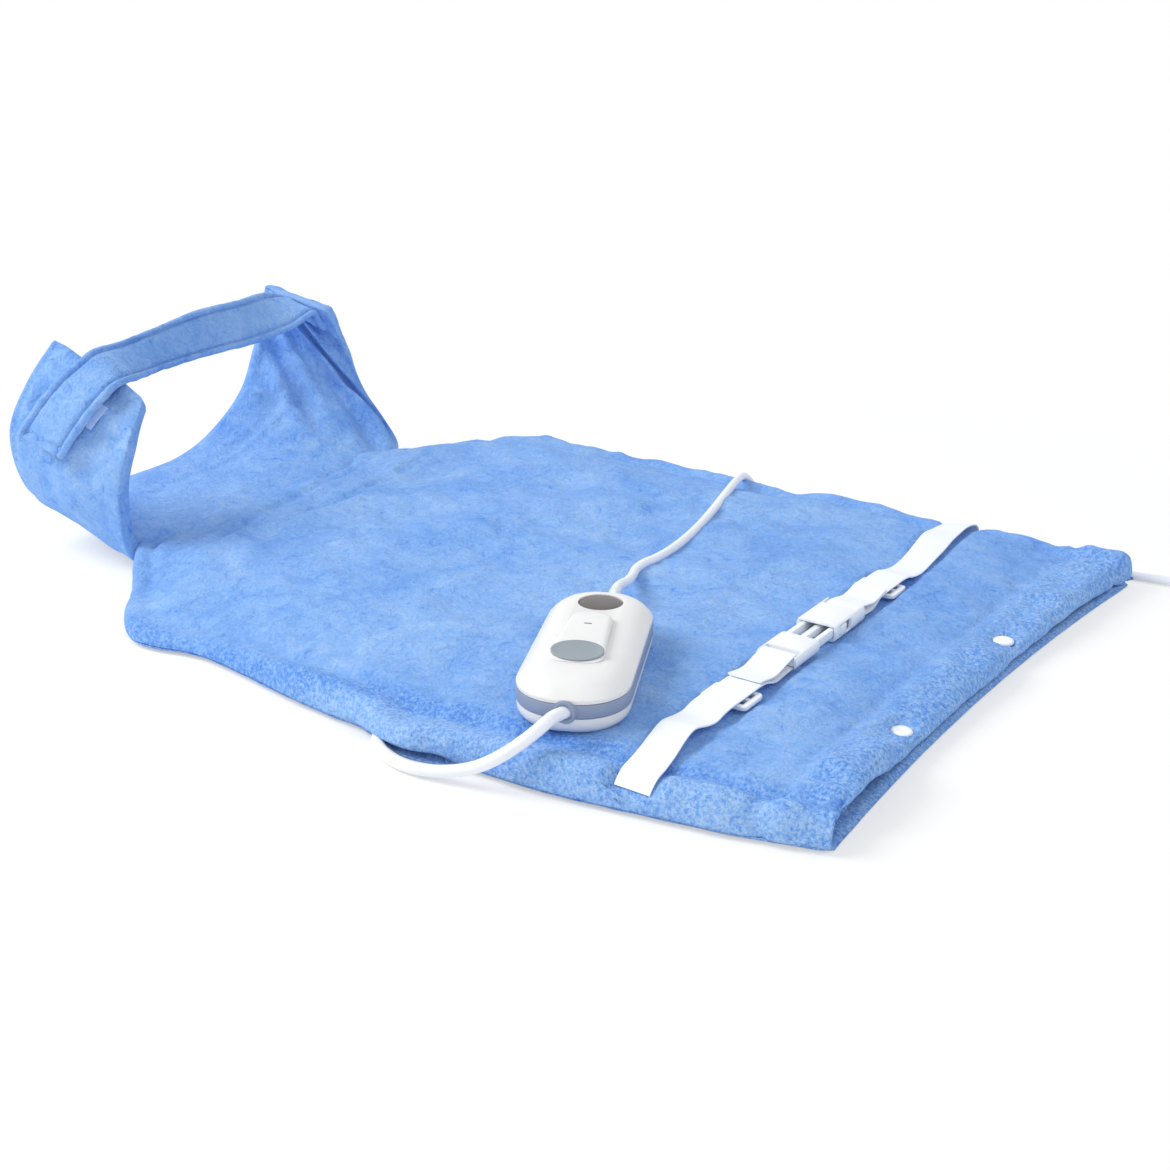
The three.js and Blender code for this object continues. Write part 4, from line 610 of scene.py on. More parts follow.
# Waves of the cover and of its hem: height, length and seed of each
COVER_WAVES = ((1.1, 95, 3), (0.5, 38, 5), (0.2, 15, 6))
HEM_WAVES = ((1, 15, 17), (2, 44, 18))
# Heights of the welt and the valley along the edge, of the creases there, and of the hem's band, seam and waves
EDGE_WELT, EDGE_VALLEY, EDGE_CREASE = 2.0, 3.2, 0.35
HEM_PUFF, HEM_SEAM, HEM_RIPPLE = 2.2, 1.2, 0.45
SEAM_SIDES, SEAM_DEPTH = 1.9, 2.6
CORNER_PINCH = 3.6
SNAP_PIT = 3.4
# Share of its height that the near shoulder's edge loses
SHOULDER_THIN = 0.58
COVER_SLACK, COVER_CAP = 0.012, 3.0
TOP_THICK = 2.4
BOTTOM_Z = 3.0
BOTTOM_THICK = 1.4


def cover_skin():
    """The top panel's outer skin: rows along the pad, each from one rim over the crown to the other."""
    x = np.linspace(-HEM_SETBACK, NECK_X - 8, int((-HEM_SETBACK - NECK_X + 8) / COVER_STEP) + 1)
    turn = np.linspace(0, math.pi / 2, ROLL_STEPS + 1)[:-1]
    share = np.linspace(-1, 1, 2 * int((HEM_WIDTH / 2 - EDGE_ROLL) / COVER_STEP) + 1)
    rows = []
    for place in x:
        near, far = half_width(place, -1), half_width(place, 1)
        rim = EDGE_ROLL * (1 - np.cos(turn))
        upright = rim * (1 - 0.55 * smoothstep(place, -60, -10))
        steep = rim * 0.5
        level = (far - near + share * (far + near - 2 * EDGE_ROLL)) / 2
        y = np.concatenate([steep - near, level, (far - upright)[::-1]])
        roll = np.concatenate([np.sin(turn), np.ones(len(share)), np.sin(turn)[::-1]])
        rows.append(columns(place + hem_shift(place, y), y, cover_height(place, y, roll)))
    hem, lip = rows[0], []
    drop = np.maximum(hem[:, 2] - eased(*LIP_MARKS.T, hem[:, 1]), 0) / 2
    drop *= np.where(hem[:, 1] < 0, smoothstep(half_width(0, hem[:, 1]) + hem[:, 1], 2, 12), 1)
    for step, turn in enumerate(LIP_TURNS[::-1], 1):
        rolled = np.minimum(drop / 3, 1)
        forward = LIP_BULGE * math.sin(turn) * rolled + 0.35 * step * (1 - rolled)
        lip.append(hem + columns(forward, 0 * drop, drop * (math.cos(turn) - 1)))
    return grid_piece("cover_top", lip[::-1] + rows)


def far_drift(y):
    """How far the far webbing runs off towards the collar on its way to the edge."""
    return 8 * smoothstep(y, 90, 215)


def shape_cover_top(points, outward):
    """Seams, hem band, snap dimples and creases, added once the cloth has swollen."""
    x, y, z = points.T
    edge = half_width(x, y) - np.abs(y)
    hem = -HEM_SETBACK - before_shift(x, y)
    near = y < 0
    flat = points[:, :2]
    lift = ripples(flat, COVER_WAVES)
    lift += EDGE_WELT * ridge(edge - 8, 5) - EDGE_VALLEY * ridge(edge - 19 - 1.5 * waves(flat[:, :1], 60, 8), 5)
    lift += EDGE_CREASE * waves(columns(x, edge * 0.25), 17, 11) * ridge(np.maximum(edge - 6, 0), 20)
    band = smoothstep(hem, 32, 20) * smoothstep(hem, -3, 4)
    lift += HEM_PUFF * band * (0.85 + 0.22 * waves(flat, 26, 13))
    lift -= HEM_SEAM * ridge(hem - HEM_BAND - 2, 3)
    lift += HEM_RIPPLE * ripples(columns(y, hem * 0.2), HEM_WAVES) * ridge(np.maximum(hem - 8, 0), 26)
    for (x0, y0), (x1, y1) in NECK_SEAMS:
        long = math.hypot(x1 - x0, y1 - y0)
        away = ((y0 - y1) * (x - x0) + (x1 - x0) * (y - y0)) / long
        share = ((x - x0) * (x1 - x0) + (y - y0) * (y1 - y0)) / long ** 2
        inside = smoothstep(share, -0.2, 0.1) * smoothstep(share, 1.15, 0.8) * smoothstep(edge, 12, 40)
        sides = SEAM_SIDES * ridge(away - 8, 5) + SEAM_SIDES * ridge(away + 8, 5)
        lift += inside * (sides - SEAM_DEPTH * ridge(away, 3))
    lift -= CORNER_PINCH * ridge(x + 38 + 0.4 * (z - 8), 3.4) * smoothstep(edge, 22, 8) * near
    for snap in SNAP_YS.values():
        lift -= SNAP_PIT * smoothstep(np.hypot(hem - SNAP_INSET, y - snap), 8.5, 5.0)
    points = points + outward * (lift * (0.35 + 0.65 * np.clip(outward[:, 2], 0, 1)))[:, None]
    hood = ridge(x - HOOD_X, HOOD_WIDTH) * smoothstep(edge, 40, 4) * smoothstep(points[:, 2], 3.6, 8) * near
    points[:, 1] -= HOOD_REACH * hood
    thin = smoothstep(x, -300, -430) * smoothstep(x, -520, -480) * smoothstep(edge, 75, 4) * near
    points[:, 2] -= SHOULDER_THIN * thin * np.maximum(points[:, 2] - RIM_Z, 0)
    under = np.interp(y, *BELT_UNDER.T) - 1.6 * smoothstep(y, 150, 200)
    pressed = smoothstep(np.abs(x - BELT_X + far_drift(y)), WEB_WIDTH / 2 + 6, WEB_WIDTH / 2 + 1)
    points[:, 2] -= pressed * np.maximum(points[:, 2] - under, 0)
    points[:, 2] = np.maximum(points[:, 2], RIM_Z)
    return points


def finish_cover(piece, cloth, thick, node):
    apply_modifier(piece, "SOLIDIFY", thickness=thick * MM, offset=-1.0, use_rim=True)
    smooth(piece)
    dress(piece, cloth, "pad", "plush", node)


def build_cover_top(cloth):
    top = cover_skin()
    x, y, _ = coordinates(top).T
    run = before_shift(x, y)
    edge = half_width(x, y) - np.abs(y)
    pinned = (edge < 6) | (run > -HEM_SETBACK - 1) | (x < NECK_X + 8)
    pinned |= np.abs(run + HEM_SETBACK + HEM_BAND) < 4
    swell(top, pinned, COVER_SLACK, COVER_CAP)
    apply_modifier(top, "SUBSURF", levels=1, render_levels=1)
    set_coordinates(top, shape_cover_top(coordinates(top), normals(top)))
    finish_cover(top, cloth, TOP_THICK, "cover_top_panel")


def build_cover_bottom(cloth):
    share = np.sin(np.linspace(-math.pi / 2, math.pi / 2, 97))
    rows = []
    for place in np.linspace(0, NECK_X, 121):
        far_corner = 3 * np.clip(1 + place / 20, 0, 1) ** 2
        near_corner = 5 * np.clip(1 + place / 7, 0, 1) ** 2
        y = share * (half_width(place, share) - 0.3 - np.where(share > 0, far_corner, near_corner))
        y -= HOOD_REACH * 0.6 * ridge(place - HOOD_X - 7, 21) * smoothstep(share, -0.9, -1.0)
        rows.append(columns(place + hem_shift(place, y), y, np.full(len(share), BOTTOM_Z)))
    bottom = grid_piece("cover_bottom", rows)
    points = coordinates(bottom)
    x, y, _ = points.T
    edge = np.minimum(half_width(x, y) - np.abs(y), hem_line(y) - x)
    drop = np.clip(BOTTOM_THICK - edge, 0, BOTTOM_THICK)
    rounding = BOTTOM_THICK - np.sqrt(np.maximum(BOTTOM_THICK ** 2 - drop ** 2, 0))
    points[:, 2] -= rounding + 0.12 + 0.1 * waves(points[:, :2], 25, 21)
    set_coordinates(bottom, points)
    finish_cover(bottom, cloth, BOTTOM_THICK, "cover_bottom_panel")


# Collar and strap: sheets between two edge curves

COLLAR_THICK = 12
COLLAR = [
    ((-543, -110, 108), (-626, -111, 139)), ((-532, -132, 89), (-622, -138, 118)),
    ((-535, -142, 56), (-634, -149, 83)), ((-536, -134, 10), (-639, -133, 38)),
    ((-527, -104, 12.6), (-637, -96, 26)), ((-532, -52, 14.8), (-635, -50, 24.5)),
    ((-532, 0, 14.6), (-634, -8, 28)), ((-532, 56, 13.8), (-635, 24, 39.5)),
    ((-534, 104, 12), (-634, 57, 65)), ((-543, 133, 17), (-644, 84, 92)),
    ((-578, 137, 55), (-648, 102, 118)), ((-591, 129, 98), (-651, 107, 129)),
    ((-591, 115, 124), (-651, 111, 136)),
]
STRAP_THICK = 5
STRAP_FREE = [
    ((-600, 84, 112), (-628, 84, 136.5)), ((-602, 48, 108.5), (-621, 52, 138)), ((-600, 2, 109), (-616, 8, 139)),
    ((-588, -48, 112), (-608, -42, 136.5)), ((-568, -92, 116.5), (-595, -88, 136)),
    ((-554, -116.5, 120.5), (-588, -116, 136.5)),
]
# Where the strap lies closed along the near wing, its two sides there, and how far they drift across it
CLOSED_FROM, CLOSED_TO = 0.03, 0.15
CLOSED_SIDES = (0.22, 0.63)
CLOSED_DRIFT = 0.2
STRAP_SEWN_LIFT = 9.7
STRAP_LENGTH = 300
STRAP_CLOSED_LIFT = -12.4
LOOP_LIFT, HOOK_LIFT = -6.8, -8.2
# Shares of the strap's width and thickness: a welt along the edge, a sunk stitch line and the filled middle
STRAP_HALF = [
    (0.0, 0.0), (0.012, 0.6), (0.04, 1.0), (0.08, 1.12), (0.115, 0.95), (0.135, 0.2), (0.15, 0.15), (0.17, 0.75),
    (0.22, 1.0), (0.36, 1.05),
]
# The collar's unrolled size, for its seams, folds and waves
COLLAR_RUN, COLLAR_WIDTH = 620, 100.0
COLLAR_WAVES = ((0.6, 70, 31), (0.3, 30, 33))
COLLAR_SLACK, COLLAR_CAP = 0.01, 2.2
NAPE_SEAMS = (0.62, 0.72)
STRAP_WAVES = ((0.15, 30, 41), (0.12, 9, 43))


class Sheet:
    """A strip between two edge curves, read by its share along and across and a lift along its normal."""

    def __init__(self, stations):
        self.stations = np.asarray(stations, float)

    def frames(self, s):
        edges = [smooth_curve(self.stations[:, side], s) for side in (0, 1)]
        step = 1e-3
        ways = [unit(smooth_curve(self.stations[:, side], s + step) - smooth_curve(self.stations[:, side], s - step))
                for side in (0, 1)]
        across = edges[1] - edges[0]
        return edges[0], across, unit(np.cross(ways[0] + ways[1], across))

    def points(self, s, u, lift):
        start, across, normal = self.frames(np.asarray(s, float))
        return start + across * np.asarray(u, float)[:, None] + normal * np.asarray(lift, float)[:, None]


def rounded_section(count, first, last):
    """Points round a flat section: share across and height, from -1 to 1, with rounded ends first and last wide."""
    turn = np.linspace(-math.pi / 2, math.pi / 2, 9)
    inner = np.linspace(first, 1 - last, count)
    start = columns(first - first * np.cos(turn), np.sin(turn))
    upper = columns(inner, np.full(count, 1.0))
    end = columns(1 - last + last * np.cos(turn), -np.sin(turn))
    lower = columns(inner[::-1], np.full(count, -1.0))
    return np.concatenate([start[:-1], upper[:-1], end[:-1], lower[:-1]])


def sheet_mesh(name, sheet, s, section, thick, lift=0.0, drift=0.0):
    """A closed tube of that section along the sheet, with its ends capped. drift moves it across on its way."""
    count = len(section)
    moved = drift * (s - s[0]) / (s[-1] - s[0])
    rings = [sheet.points(np.full(count, place), section[:, 0] + move, lift + section[:, 1] * thick / 2)
             for place, move in zip(s, moved)]
    faces = []
    for ring in range(len(s) - 1):
        for k in range(count):
            a, b = ring * count + k, ring * count + (k + 1) % count
            faces.append((a, a + count, b + count, b))
    half = count // 2
    for first, flip in ((0, False), ((len(s) - 1) * count, True)):
        for k in range(half - 1):
            quad = [first + k, first + k + 1, first + (count - 2 - k) % count, first + count - 1 - k]
            faces.append(quad[::-1] if flip else quad)
    piece = mesh_piece(name, lay(np.concatenate(rings)), faces)
    edit(piece)
    bpy.ops.mesh.remove_doubles(threshold=1e-6)
    face_outward()
    return piece


def sheet_places(sheet, points, samples=400):
    """Share along and across of the sheet's nearest place to each point."""
    s = np.linspace(0, 1, samples)
    start, across, normal = sheet.frames(s)
    best = np.empty(len(points), int)
    for first in range(0, len(points), 4000):
        part = points[first:first + 4000]
        u = ((part[:, None] - start) * across).sum(axis=2) / (across ** 2).sum(axis=1)
        foot = start + across * np.clip(u, 0, 1)[:, :, None]
        best[first:first + 4000] = ((part[:, None] - foot) ** 2).sum(axis=2).argmin(axis=1)
    u = ((points - start[best]) * across[best]).sum(axis=1) / (across[best] ** 2).sum(axis=1)
    lift = ((points - start[best]) * normal[best]).sum(axis=1)
    return s[best], u, lift


def shape_collar(points, outward, s, u, lift):
    """Edge seams, the two seams across the nape and the soft folds of the two wings."""
    edge = np.minimum(u, 1 - u) * COLLAR_WIDTH
    neck = (1 - u) * COLLAR_WIDTH
    move = ripples(columns(s * COLLAR_RUN, u * COLLAR_WIDTH), COLLAR_WAVES) * smoothstep(edge, 0, 12)
    move -= (1.4 - 0.9 * smoothstep(s, 0.25, 0.35) * smoothstep(s, 0.8, 0.7)) * ridge(neck - 7, 2.4)
    far = smoothstep(s, 0.62, 0.72) * smoothstep(s, 1.0, 0.9)
    folds = np.sin(2 * math.pi * (u * 2.4 - s * 9.5)) + 0.5 * np.sin(2 * math.pi * (u * 4.1 - s * 13 + 0.3))
    move += 3.6 * far * folds * np.sign(lift) * smoothstep(neck, 4, 22) * smoothstep(u, 0.0, 0.12)
    near = smoothstep(s, 0.3, 0.2)
    pleats = np.sin(2 * math.pi * (s * 16 + u * 0.8)) * smoothstep(u, 0.75, 0.25)
    move += 1.3 * near * pleats * smoothstep(edge, 4, 20)
    nape = smoothstep(s, 0.35, 0.42) * smoothstep(s, 0.78, 0.7)
    for seam in NAPE_SEAMS:
        move -= 1.6 * nape * ridge((u - seam - 0.2 * (s - 0.5)) * COLLAR_WIDTH, 2.4)
    return points + outward * move[:, None]


def build_collar(cloth):
    sheet = Sheet(COLLAR)
    section = rounded_section(17, 0.014, 0.055)
    collar = sheet_mesh("collar_roll", sheet, np.linspace(0, 1, 105), section, COLLAR_THICK * 0.82)
    s, u, lift = sheet_places(sheet, coordinates(collar))
    pinned = (u < 0.06) | (u > 0.94) | (s < 0.01) | (s > 0.99)
    swell(collar, pinned, COLLAR_SLACK, COLLAR_CAP)
    apply_modifier(collar, "SUBSURF", levels=1, render_levels=1)
    points = coordinates(collar)
    set_coordinates(collar, shape_collar(points, normals(collar), *sheet_places(sheet, points)))
    smooth(collar)
    dress(collar, cloth, "pad", "plush", "collar")
    return sheet


def strap_section():
    """A turned and topstitched strap, the same above and below."""
    upper = STRAP_HALF + [(0.5, 1.02)] + [(1 - u, h) for u, h in STRAP_HALF[::-1]]
    lower = [(u, -h) for u, h in upper[1:-1]][::-1]
    return np.array(upper + lower)


def build_strap(cloth, collar):
    stations = [collar.points([s, s], [0.12, 0.66], [STRAP_SEWN_LIFT] * 2) for s in (0.93, 0.955, 0.98)]
    stations += STRAP_FREE
    for share in (0, 0.3, 0.6, 1):
        s = CLOSED_FROM + (CLOSED_TO - CLOSED_FROM) * share
        sides = np.array(CLOSED_SIDES) + CLOSED_DRIFT * share
        stations.append(collar.points([s, s], sides, [STRAP_CLOSED_LIFT] * 2))
    sheet = Sheet(stations)
    strap = sheet_mesh("neck_strap", sheet, np.linspace(0, 1, 131), strap_section(), STRAP_THICK)
    apply_modifier(strap, "SUBSURF", levels=1, render_levels=1)
    points = coordinates(strap)
    along, across, _ = sheet_places(sheet, points)
    stitched = ridge((1 - along) * STRAP_LENGTH - 5.5, 1.5) * smoothstep(np.minimum(across, 1 - across), 0.08, 0.14)
    points -= normals(strap) * (1.7 * stitched)[:, None]
    set_coordinates(strap, points + normals(strap) * ripples(points, STRAP_WAVES)[:, None])
    smooth(strap)
    dress(strap, cloth, None, "plush", "collar_strap")
    return strap


def build_patches(collar, loop, hook):
    """Loop and hook tape where the strap closes."""
    section = np.array([(0, -1), (0, 1), (0.5, 1), (1, 1), (1, -1), (0.5, -1)], float)
    for name, node, low, end, lift, thick, body, tone in (
            ("loop_tape", "loop_patch", 0.252, 0.1, LOOP_LIFT, 1.0, "pad", loop),
            ("hook_tape", "hook_patch", 0.3, 0.135, HOOK_LIFT, 1.2, "strap", hook)):
        shares = section * [0.59 - low, 1] + [low, 0]
        drift = CLOSED_DRIFT * (end - 0.06) / (CLOSED_TO - CLOSED_FROM)
        tape = sheet_mesh(name, collar, np.linspace(0.06, end, 17), shares, thick, lift, drift)
        smooth(tape, 40)
        dress(tape, tone, body, "webbing", node)


# Controller, modelled in its own frame with +X towards the mains lead, then set down on the pad

BAND_LOW, BAND_HIGH = 11.8, 19.2
LID_LOW = 19.5
LID_RIM = 2.0
LID_RISE = 8.4
LID_ROUND = 22.0
CASE_TOP = 29.9
BASE_HIGH = 11.5
BASE_ROUND = 14.0
BASE_WALL_LOW = 9.0
SLIDER_FRONT, SLIDER_BACK = -40, 18
SLIDER_FRONT_HALF, SLIDER_BACK_HALF = 14.6, 10.8
SLIDER_LOW, SLIDER_TOP = 30.0, 34.2
GRIP_RAMP = 18
GRIP_DROP = 3.9
WINDOW_X = 40
WINDOW_STEPS = ((0.3, 0.2), (1.5, 0.25), (3.0, 0.2))
SLIDER_STEPS = ((0.4, 0.8), (0.6, 0.6), (1.0, 0.35), (1.6, 0.15))
GRIP_STEPS = ((0.4, 0.2), (0.5, 0.0), (0.8, -0.3), (2.2, -0.3))
GRIP_HALVES = (8.5, 13.8)
GRIP_GAP = 0.1
SHELL_THICK = 1.8
LID_THICK = 2.0
# Radius and height along the grey ring, and along a press snap's cap
RING_PROFILE = [
    (5.8, -5.8), (6.2, -5.4), (6.2, 0.5), (5.9, 1.1), (5.3, 1.3), (4.5, 1.3), (4.0, 1.0), (3.7, 0.2),
]
SNAP_PROFILE = [
    (5.4, -2.4), (6.0, -1.9), (6.0, -1.2), (5.6, -0.55), (4.8, -0.2), (3.4, 0.0), (3.0, -0.05), (2.2, -0.3),
    (1.0, -0.42),
]
# How deep each snap's cap is sunk in the pile
SNAP_SUNK = {"near": 2.9, "far": 1.7}


def flat_plate(name, x0, x1, near, far, radius, z, segments):
    """A flat face with rounded corners, left in edit mode and selected. It is near and far wide to each side at its
    two ends."""
    nothing_selected()
    bpy.ops.mesh.primitive_plane_add(size=2)
    piece = bpy.context.object
    piece.name = name
    for vertex in piece.data.vertices:
        x, half = (x1, far) if vertex.co.x > 0 else (x0, near)
        vertex.co = (x * MM, math.copysign(half, vertex.co.y) * MM, z * MM)
    edit(piece)
    bpy.ops.mesh.bevel(offset=radius * MM, segments=segments, affect="VERTICES")
    bpy.ops.mesh.select_all(action="SELECT")
    return piece


def case_plate(name, z, grow=0.0):
    half = CASE_LENGTH / 2 + grow
    near, far = CASE_NEAR_WIDTH / 2 + grow, CASE_FAR_WIDTH / 2 + grow
    return flat_plate(name, -half, half, near, far, CASE_CORNER + grow, z, 14)


def block_plate(name, x0, x1, half, radius, z, far=None):
    return flat_plate(name, x0, x1, half, far or half, radius, z, 8)


def raise_face(height):
    bpy.ops.mesh.extrude_region_move(TRANSFORM_OT_translate={"value": (0, 0, height * MM)})


def step_face(inset, height):
    bpy.ops.mesh.inset(thickness=max(inset, 1e-4) * MM, depth=height * MM)


def step_faces(insets, heights):
    """Steps the selected face through rising insets and heights."""
    for inset, height in zip(np.diff(insets), np.diff(heights)):
        step_face(inset, height)


def pick_faces(piece, test):
    """Selects the faces that the test picks, and leaves the piece in edit mode."""
    bpy.ops.mesh.select_mode(type="FACE")
    bpy.ops.mesh.select_all(action="DESELECT")
    end_edit()
    for face in piece.data.polygons:
        face.select = test(face)
    bpy.ops.object.mode_set(mode="EDIT")


def drop_faces(piece, test):
    """Deletes the faces that the test picks, and ends edit mode."""
    pick_faces(piece, test)
    bpy.ops.mesh.delete(type="FACE")
    end_edit()


def step_top(piece, lean, steps):
    """Insets and raises the face that looks up, step by step."""
    edit(piece)
    pick_faces(piece, lambda face: face.normal.z > lean)
    for inset, height in steps:
        step_face(inset, height)
    end_edit()


def cut_away(piece, cutter):
    apply_modifier(piece, "BOOLEAN", object=cutter, operation="DIFFERENCE", solver="EXACT")
    bpy.data.objects.remove(cutter)


def soften(piece, width, segments=2, angle=35):
    """Rounds the edges a little and shades the piece smoothly."""
    apply_modifier(piece, "BEVEL", width=width * MM, segments=segments, limit_method="ANGLE",
                   angle_limit=math.radians(angle), harden_normals=False)
    smooth(piece, angle)


def set_down(piece, *dressing):
    """Moves a piece from the controller's own frame to its place on the pad, and dresses it."""
    piece.data.transform(Matrix.Translation(lay(CASE_PLACE)) @ Matrix.Rotation(CASE_TURN, 4, "Z"))
    piece.data.update()
    return dress(piece, *dressing)


def oval(name, half_x, half_y, place, depth, tilt=0.0):
    nothing_selected()
    bpy.ops.mesh.primitive_cylinder_add(vertices=48, radius=1, depth=1)
    piece = bpy.context.object
    piece.name = name
    piece.data.transform(Matrix.Translation(Vector(place) * MM) @ Matrix.Rotation(tilt, 4, "Y")
                         @ Matrix.Diagonal((half_x * MM, half_y * MM, depth * MM, 1)))
    return piece


def build_base(plastic):
    base = case_plate("case_base", BASE_HIGH)
    bpy.ops.mesh.flip_normals()
    raise_face(BASE_WALL_LOW - BASE_HIGH)
    turns = np.linspace(0, math.pi / 2, 10)
    step_faces(BASE_ROUND * (1 - np.cos(turns)), BASE_WALL_LOW * np.sin(turns))
    drop_faces(base, lambda face: face.normal.z > 0.99)
    apply_modifier(base, "SOLIDIFY", thickness=SHELL_THICK * MM, offset=-1.0)
    smooth(base, 30)
    set_down(base, plastic, "pad", "case_plastic", "case_bottom")


def build_band(plastic):
    band = case_plate("case_band", BAND_LOW, grow=0.3)
    raise_face(BAND_HIGH - BAND_LOW)
    drop_faces(band, lambda face: abs(face.normal.z) > 0.99)
    apply_modifier(band, "SOLIDIFY", thickness=SHELL_THICK * MM, offset=-1.0)
    soften(band, 0.5)
    set_down(band, plastic, "pad", "band_plastic", "trim_band_left", "trim_band_right")


def build_lid(plastic):
    lid = case_plate("case_lid", LID_LOW)
    raise_face(LID_RIM)
    inset = LID_ROUND * np.linspace(0, 1, 13) ** 1.6
    step_faces(inset, LID_RISE * (1 - (1 - inset / LID_ROUND) ** 3.6))
    drop_faces(lid, lambda face: face.normal.z < -0.99)
    apply_modifier(lid, "SOLIDIFY", thickness=LID_THICK * MM, offset=-1.0)
    cut_away(lid, oval("window_cutter", 11.5, 12.5, (WINDOW_X, 0, CASE_TOP), 5))
    slot = block_plate("stem_cutter", -23, -1, 3, 1, LID_LOW + 2)
    raise_face(12)
    end_edit()
    cut_away(lid, slot)
    soften(lid, 0.35)
    set_down(lid, plastic, "pad", "case_plastic", "case_top")


def build_window(lens):
    window = oval("window_lens", 11.25, 12.25, (WINDOW_X, 0, CASE_TOP - 1.9), 1.9)
    step_top(window, 0.9, WINDOW_STEPS)
    smooth(window, 40)
    set_down(window, lens, "pad", "dark_lens", "display_window")


def build_slider(plastic, rubber, print_ink):
    cap = block_plate("slider_block", SLIDER_FRONT, SLIDER_BACK, SLIDER_FRONT_HALF, 8, SLIDER_LOW, SLIDER_BACK_HALF)
    raise_face(SLIDER_TOP - SLIDER_LOW - 1.9)
    for inset, rise in SLIDER_STEPS:
        step_face(inset, rise)
    ramp_start = SLIDER_FRONT + GRIP_RAMP
    for place in np.linspace(SLIDER_FRONT + 3, ramp_start, 5):
        bpy.ops.mesh.select_all(action="SELECT")
        bpy.ops.mesh.bisect(plane_co=(place * MM, 0, 0), plane_no=(1, 0, 0))
    end_edit()
    for vertex in cap.data.vertices:
        share = np.clip((ramp_start - vertex.co.x / MM) / GRIP_RAMP, 0, 1)
        high = np.clip((vertex.co.z / MM - SLIDER_LOW) / (SLIDER_TOP - SLIDER_LOW), 0, 1)
        vertex.co.z -= share * high * GRIP_DROP * MM
    tilt = -math.atan2(GRIP_DROP, GRIP_RAMP)
    x, z = SLIDER_FRONT + GRIP_RAMP / 2 - 0.3, SLIDER_TOP - GRIP_DROP / 2 + 0.1
    halves = [half + GRIP_GAP for half in GRIP_HALVES]
    cut_away(cap, oval("grip_cutter", *halves, (x, 0, z + 2.2), 6, tilt))
    soften(cap, 0.3)
    set_down(cap, plastic, "slider", "case_plastic", "slider_cap")

    grip = oval("slider_thumb_grip", *GRIP_HALVES, (x, 0, z), 1.4, tilt)
    step_top(grip, 0.8, GRIP_STEPS)
    smooth(grip, 50)
    set_down(grip, rubber, "slider", "grey_rubber", "slider_grip")

    mark = block_plate("slider_mark", -0.6, 0.6, 2, 0.4, SLIDER_TOP - 0.1)
    raise_face(0.22)
    end_edit()
    smooth(mark, 30)
    set_down(mark, print_ink, "slider", "grey_rubber")


def turned(name, profile, sides=32):
    """A round piece from (radius, height) steps: a disc drawn up along Z and widened or narrowed at each step."""
    nothing_selected()
    radius, height = profile[0]
    bpy.ops.mesh.primitive_circle_add(vertices=sides, radius=radius * MM, fill_type="NGON", location=(0, 0, 0))
    piece = bpy.context.object
    piece.name = name
    for vertex in piece.data.vertices:
        vertex.co.z = height * MM
    edit(piece)
    for next_radius, next_height in profile[1:]:
        raise_face(next_height - height)
        share = next_radius / radius
        bpy.ops.transform.resize(value=(share, share, 1), center_override=(0, 0, next_height * MM))
        radius, height = next_radius, next_height
    face_outward()
    return piece


def end_fitting(piece, end, turn):
    """Turns a round piece on to the case's end on the side of that sign, where its cord leaves."""
    place = Matrix.Translation(Vector((end * CASE_LENGTH / 2, 0, CORD_HEIGHT)) * MM)
    piece.data.transform(place @ turn @ Matrix.Rotation(end * math.pi / 2, 4, "Y"))
    smooth(piece, 40)


def build_fittings(rubber, jacket):
    """The grey ring round the pad lead, and the ribbed strain relief on the mains lead."""
    ring = turned("lead_ring", RING_PROFILE, 40)
    end_fitting(ring, -1, Matrix.Rotation(math.radians(-12), 4, "Z"))
    set_down(ring, rubber, "pad", "grey_rubber", "lead_bush")

    profile = [(5.0, -5.0), (5.0, 0.6), (4.6, 1.4)]
    for rib in range(6):
        low = 2.2 + 3.5 * rib
        body = 4.3 - 0.13 * (low - 2)
        profile += [(body - 0.45, low), (body - 0.45, low + 0.9), (body, low + 1.3), (body - 0.05, low + 2.7)]
    profile += [(3.5, 23.3), (3.1, 24.0)]
    relief = turned("mains_relief", profile, 28)
    end_fitting(relief, 1, Matrix.Identity(4))
    return set_down(relief, jacket, "pad", "cord_jacket", "mains_strain_relief")


def build_snaps(plastic):
    x = -HEM_SETBACK - SNAP_INSET
    for side, y in SNAP_YS.items():
        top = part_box("snap_cap_" + side)[1][2] / MM - SNAP_SUNK[side]
        cap = turned("snap_" + side, SNAP_PROFILE)
        cap.data.transform(Matrix.Translation(lay((x + hem_shift(x, y), y, top))))
        smooth(cap, 50)
        dress(cap, plastic, "pad", "white_plastic", "snap_cap_" + side)


def refined(name, node, width, body, slot, material, segments=2):
    """A copy of a solid with its flat faces joined up and its edges rounded."""
    source = bpy.data.objects[node]
    piece = linked(name, source.data.copy())
    piece.data.transform(source.matrix_world)
    edit(piece)
    bpy.ops.mesh.remove_doubles(threshold=2e-6)
    bpy.ops.mesh.dissolve_limited(angle_limit=math.radians(1.5))
    end_edit()
    soften(piece, width, segments, 30)
    return dress(piece, material, body, slot, node)


# Waist belt

BAR_UNDER = 23.2
BAR_ABOVE = 29.6
ADJUSTER_LOW = 23.8
ADJUSTER_OVER = 26.6


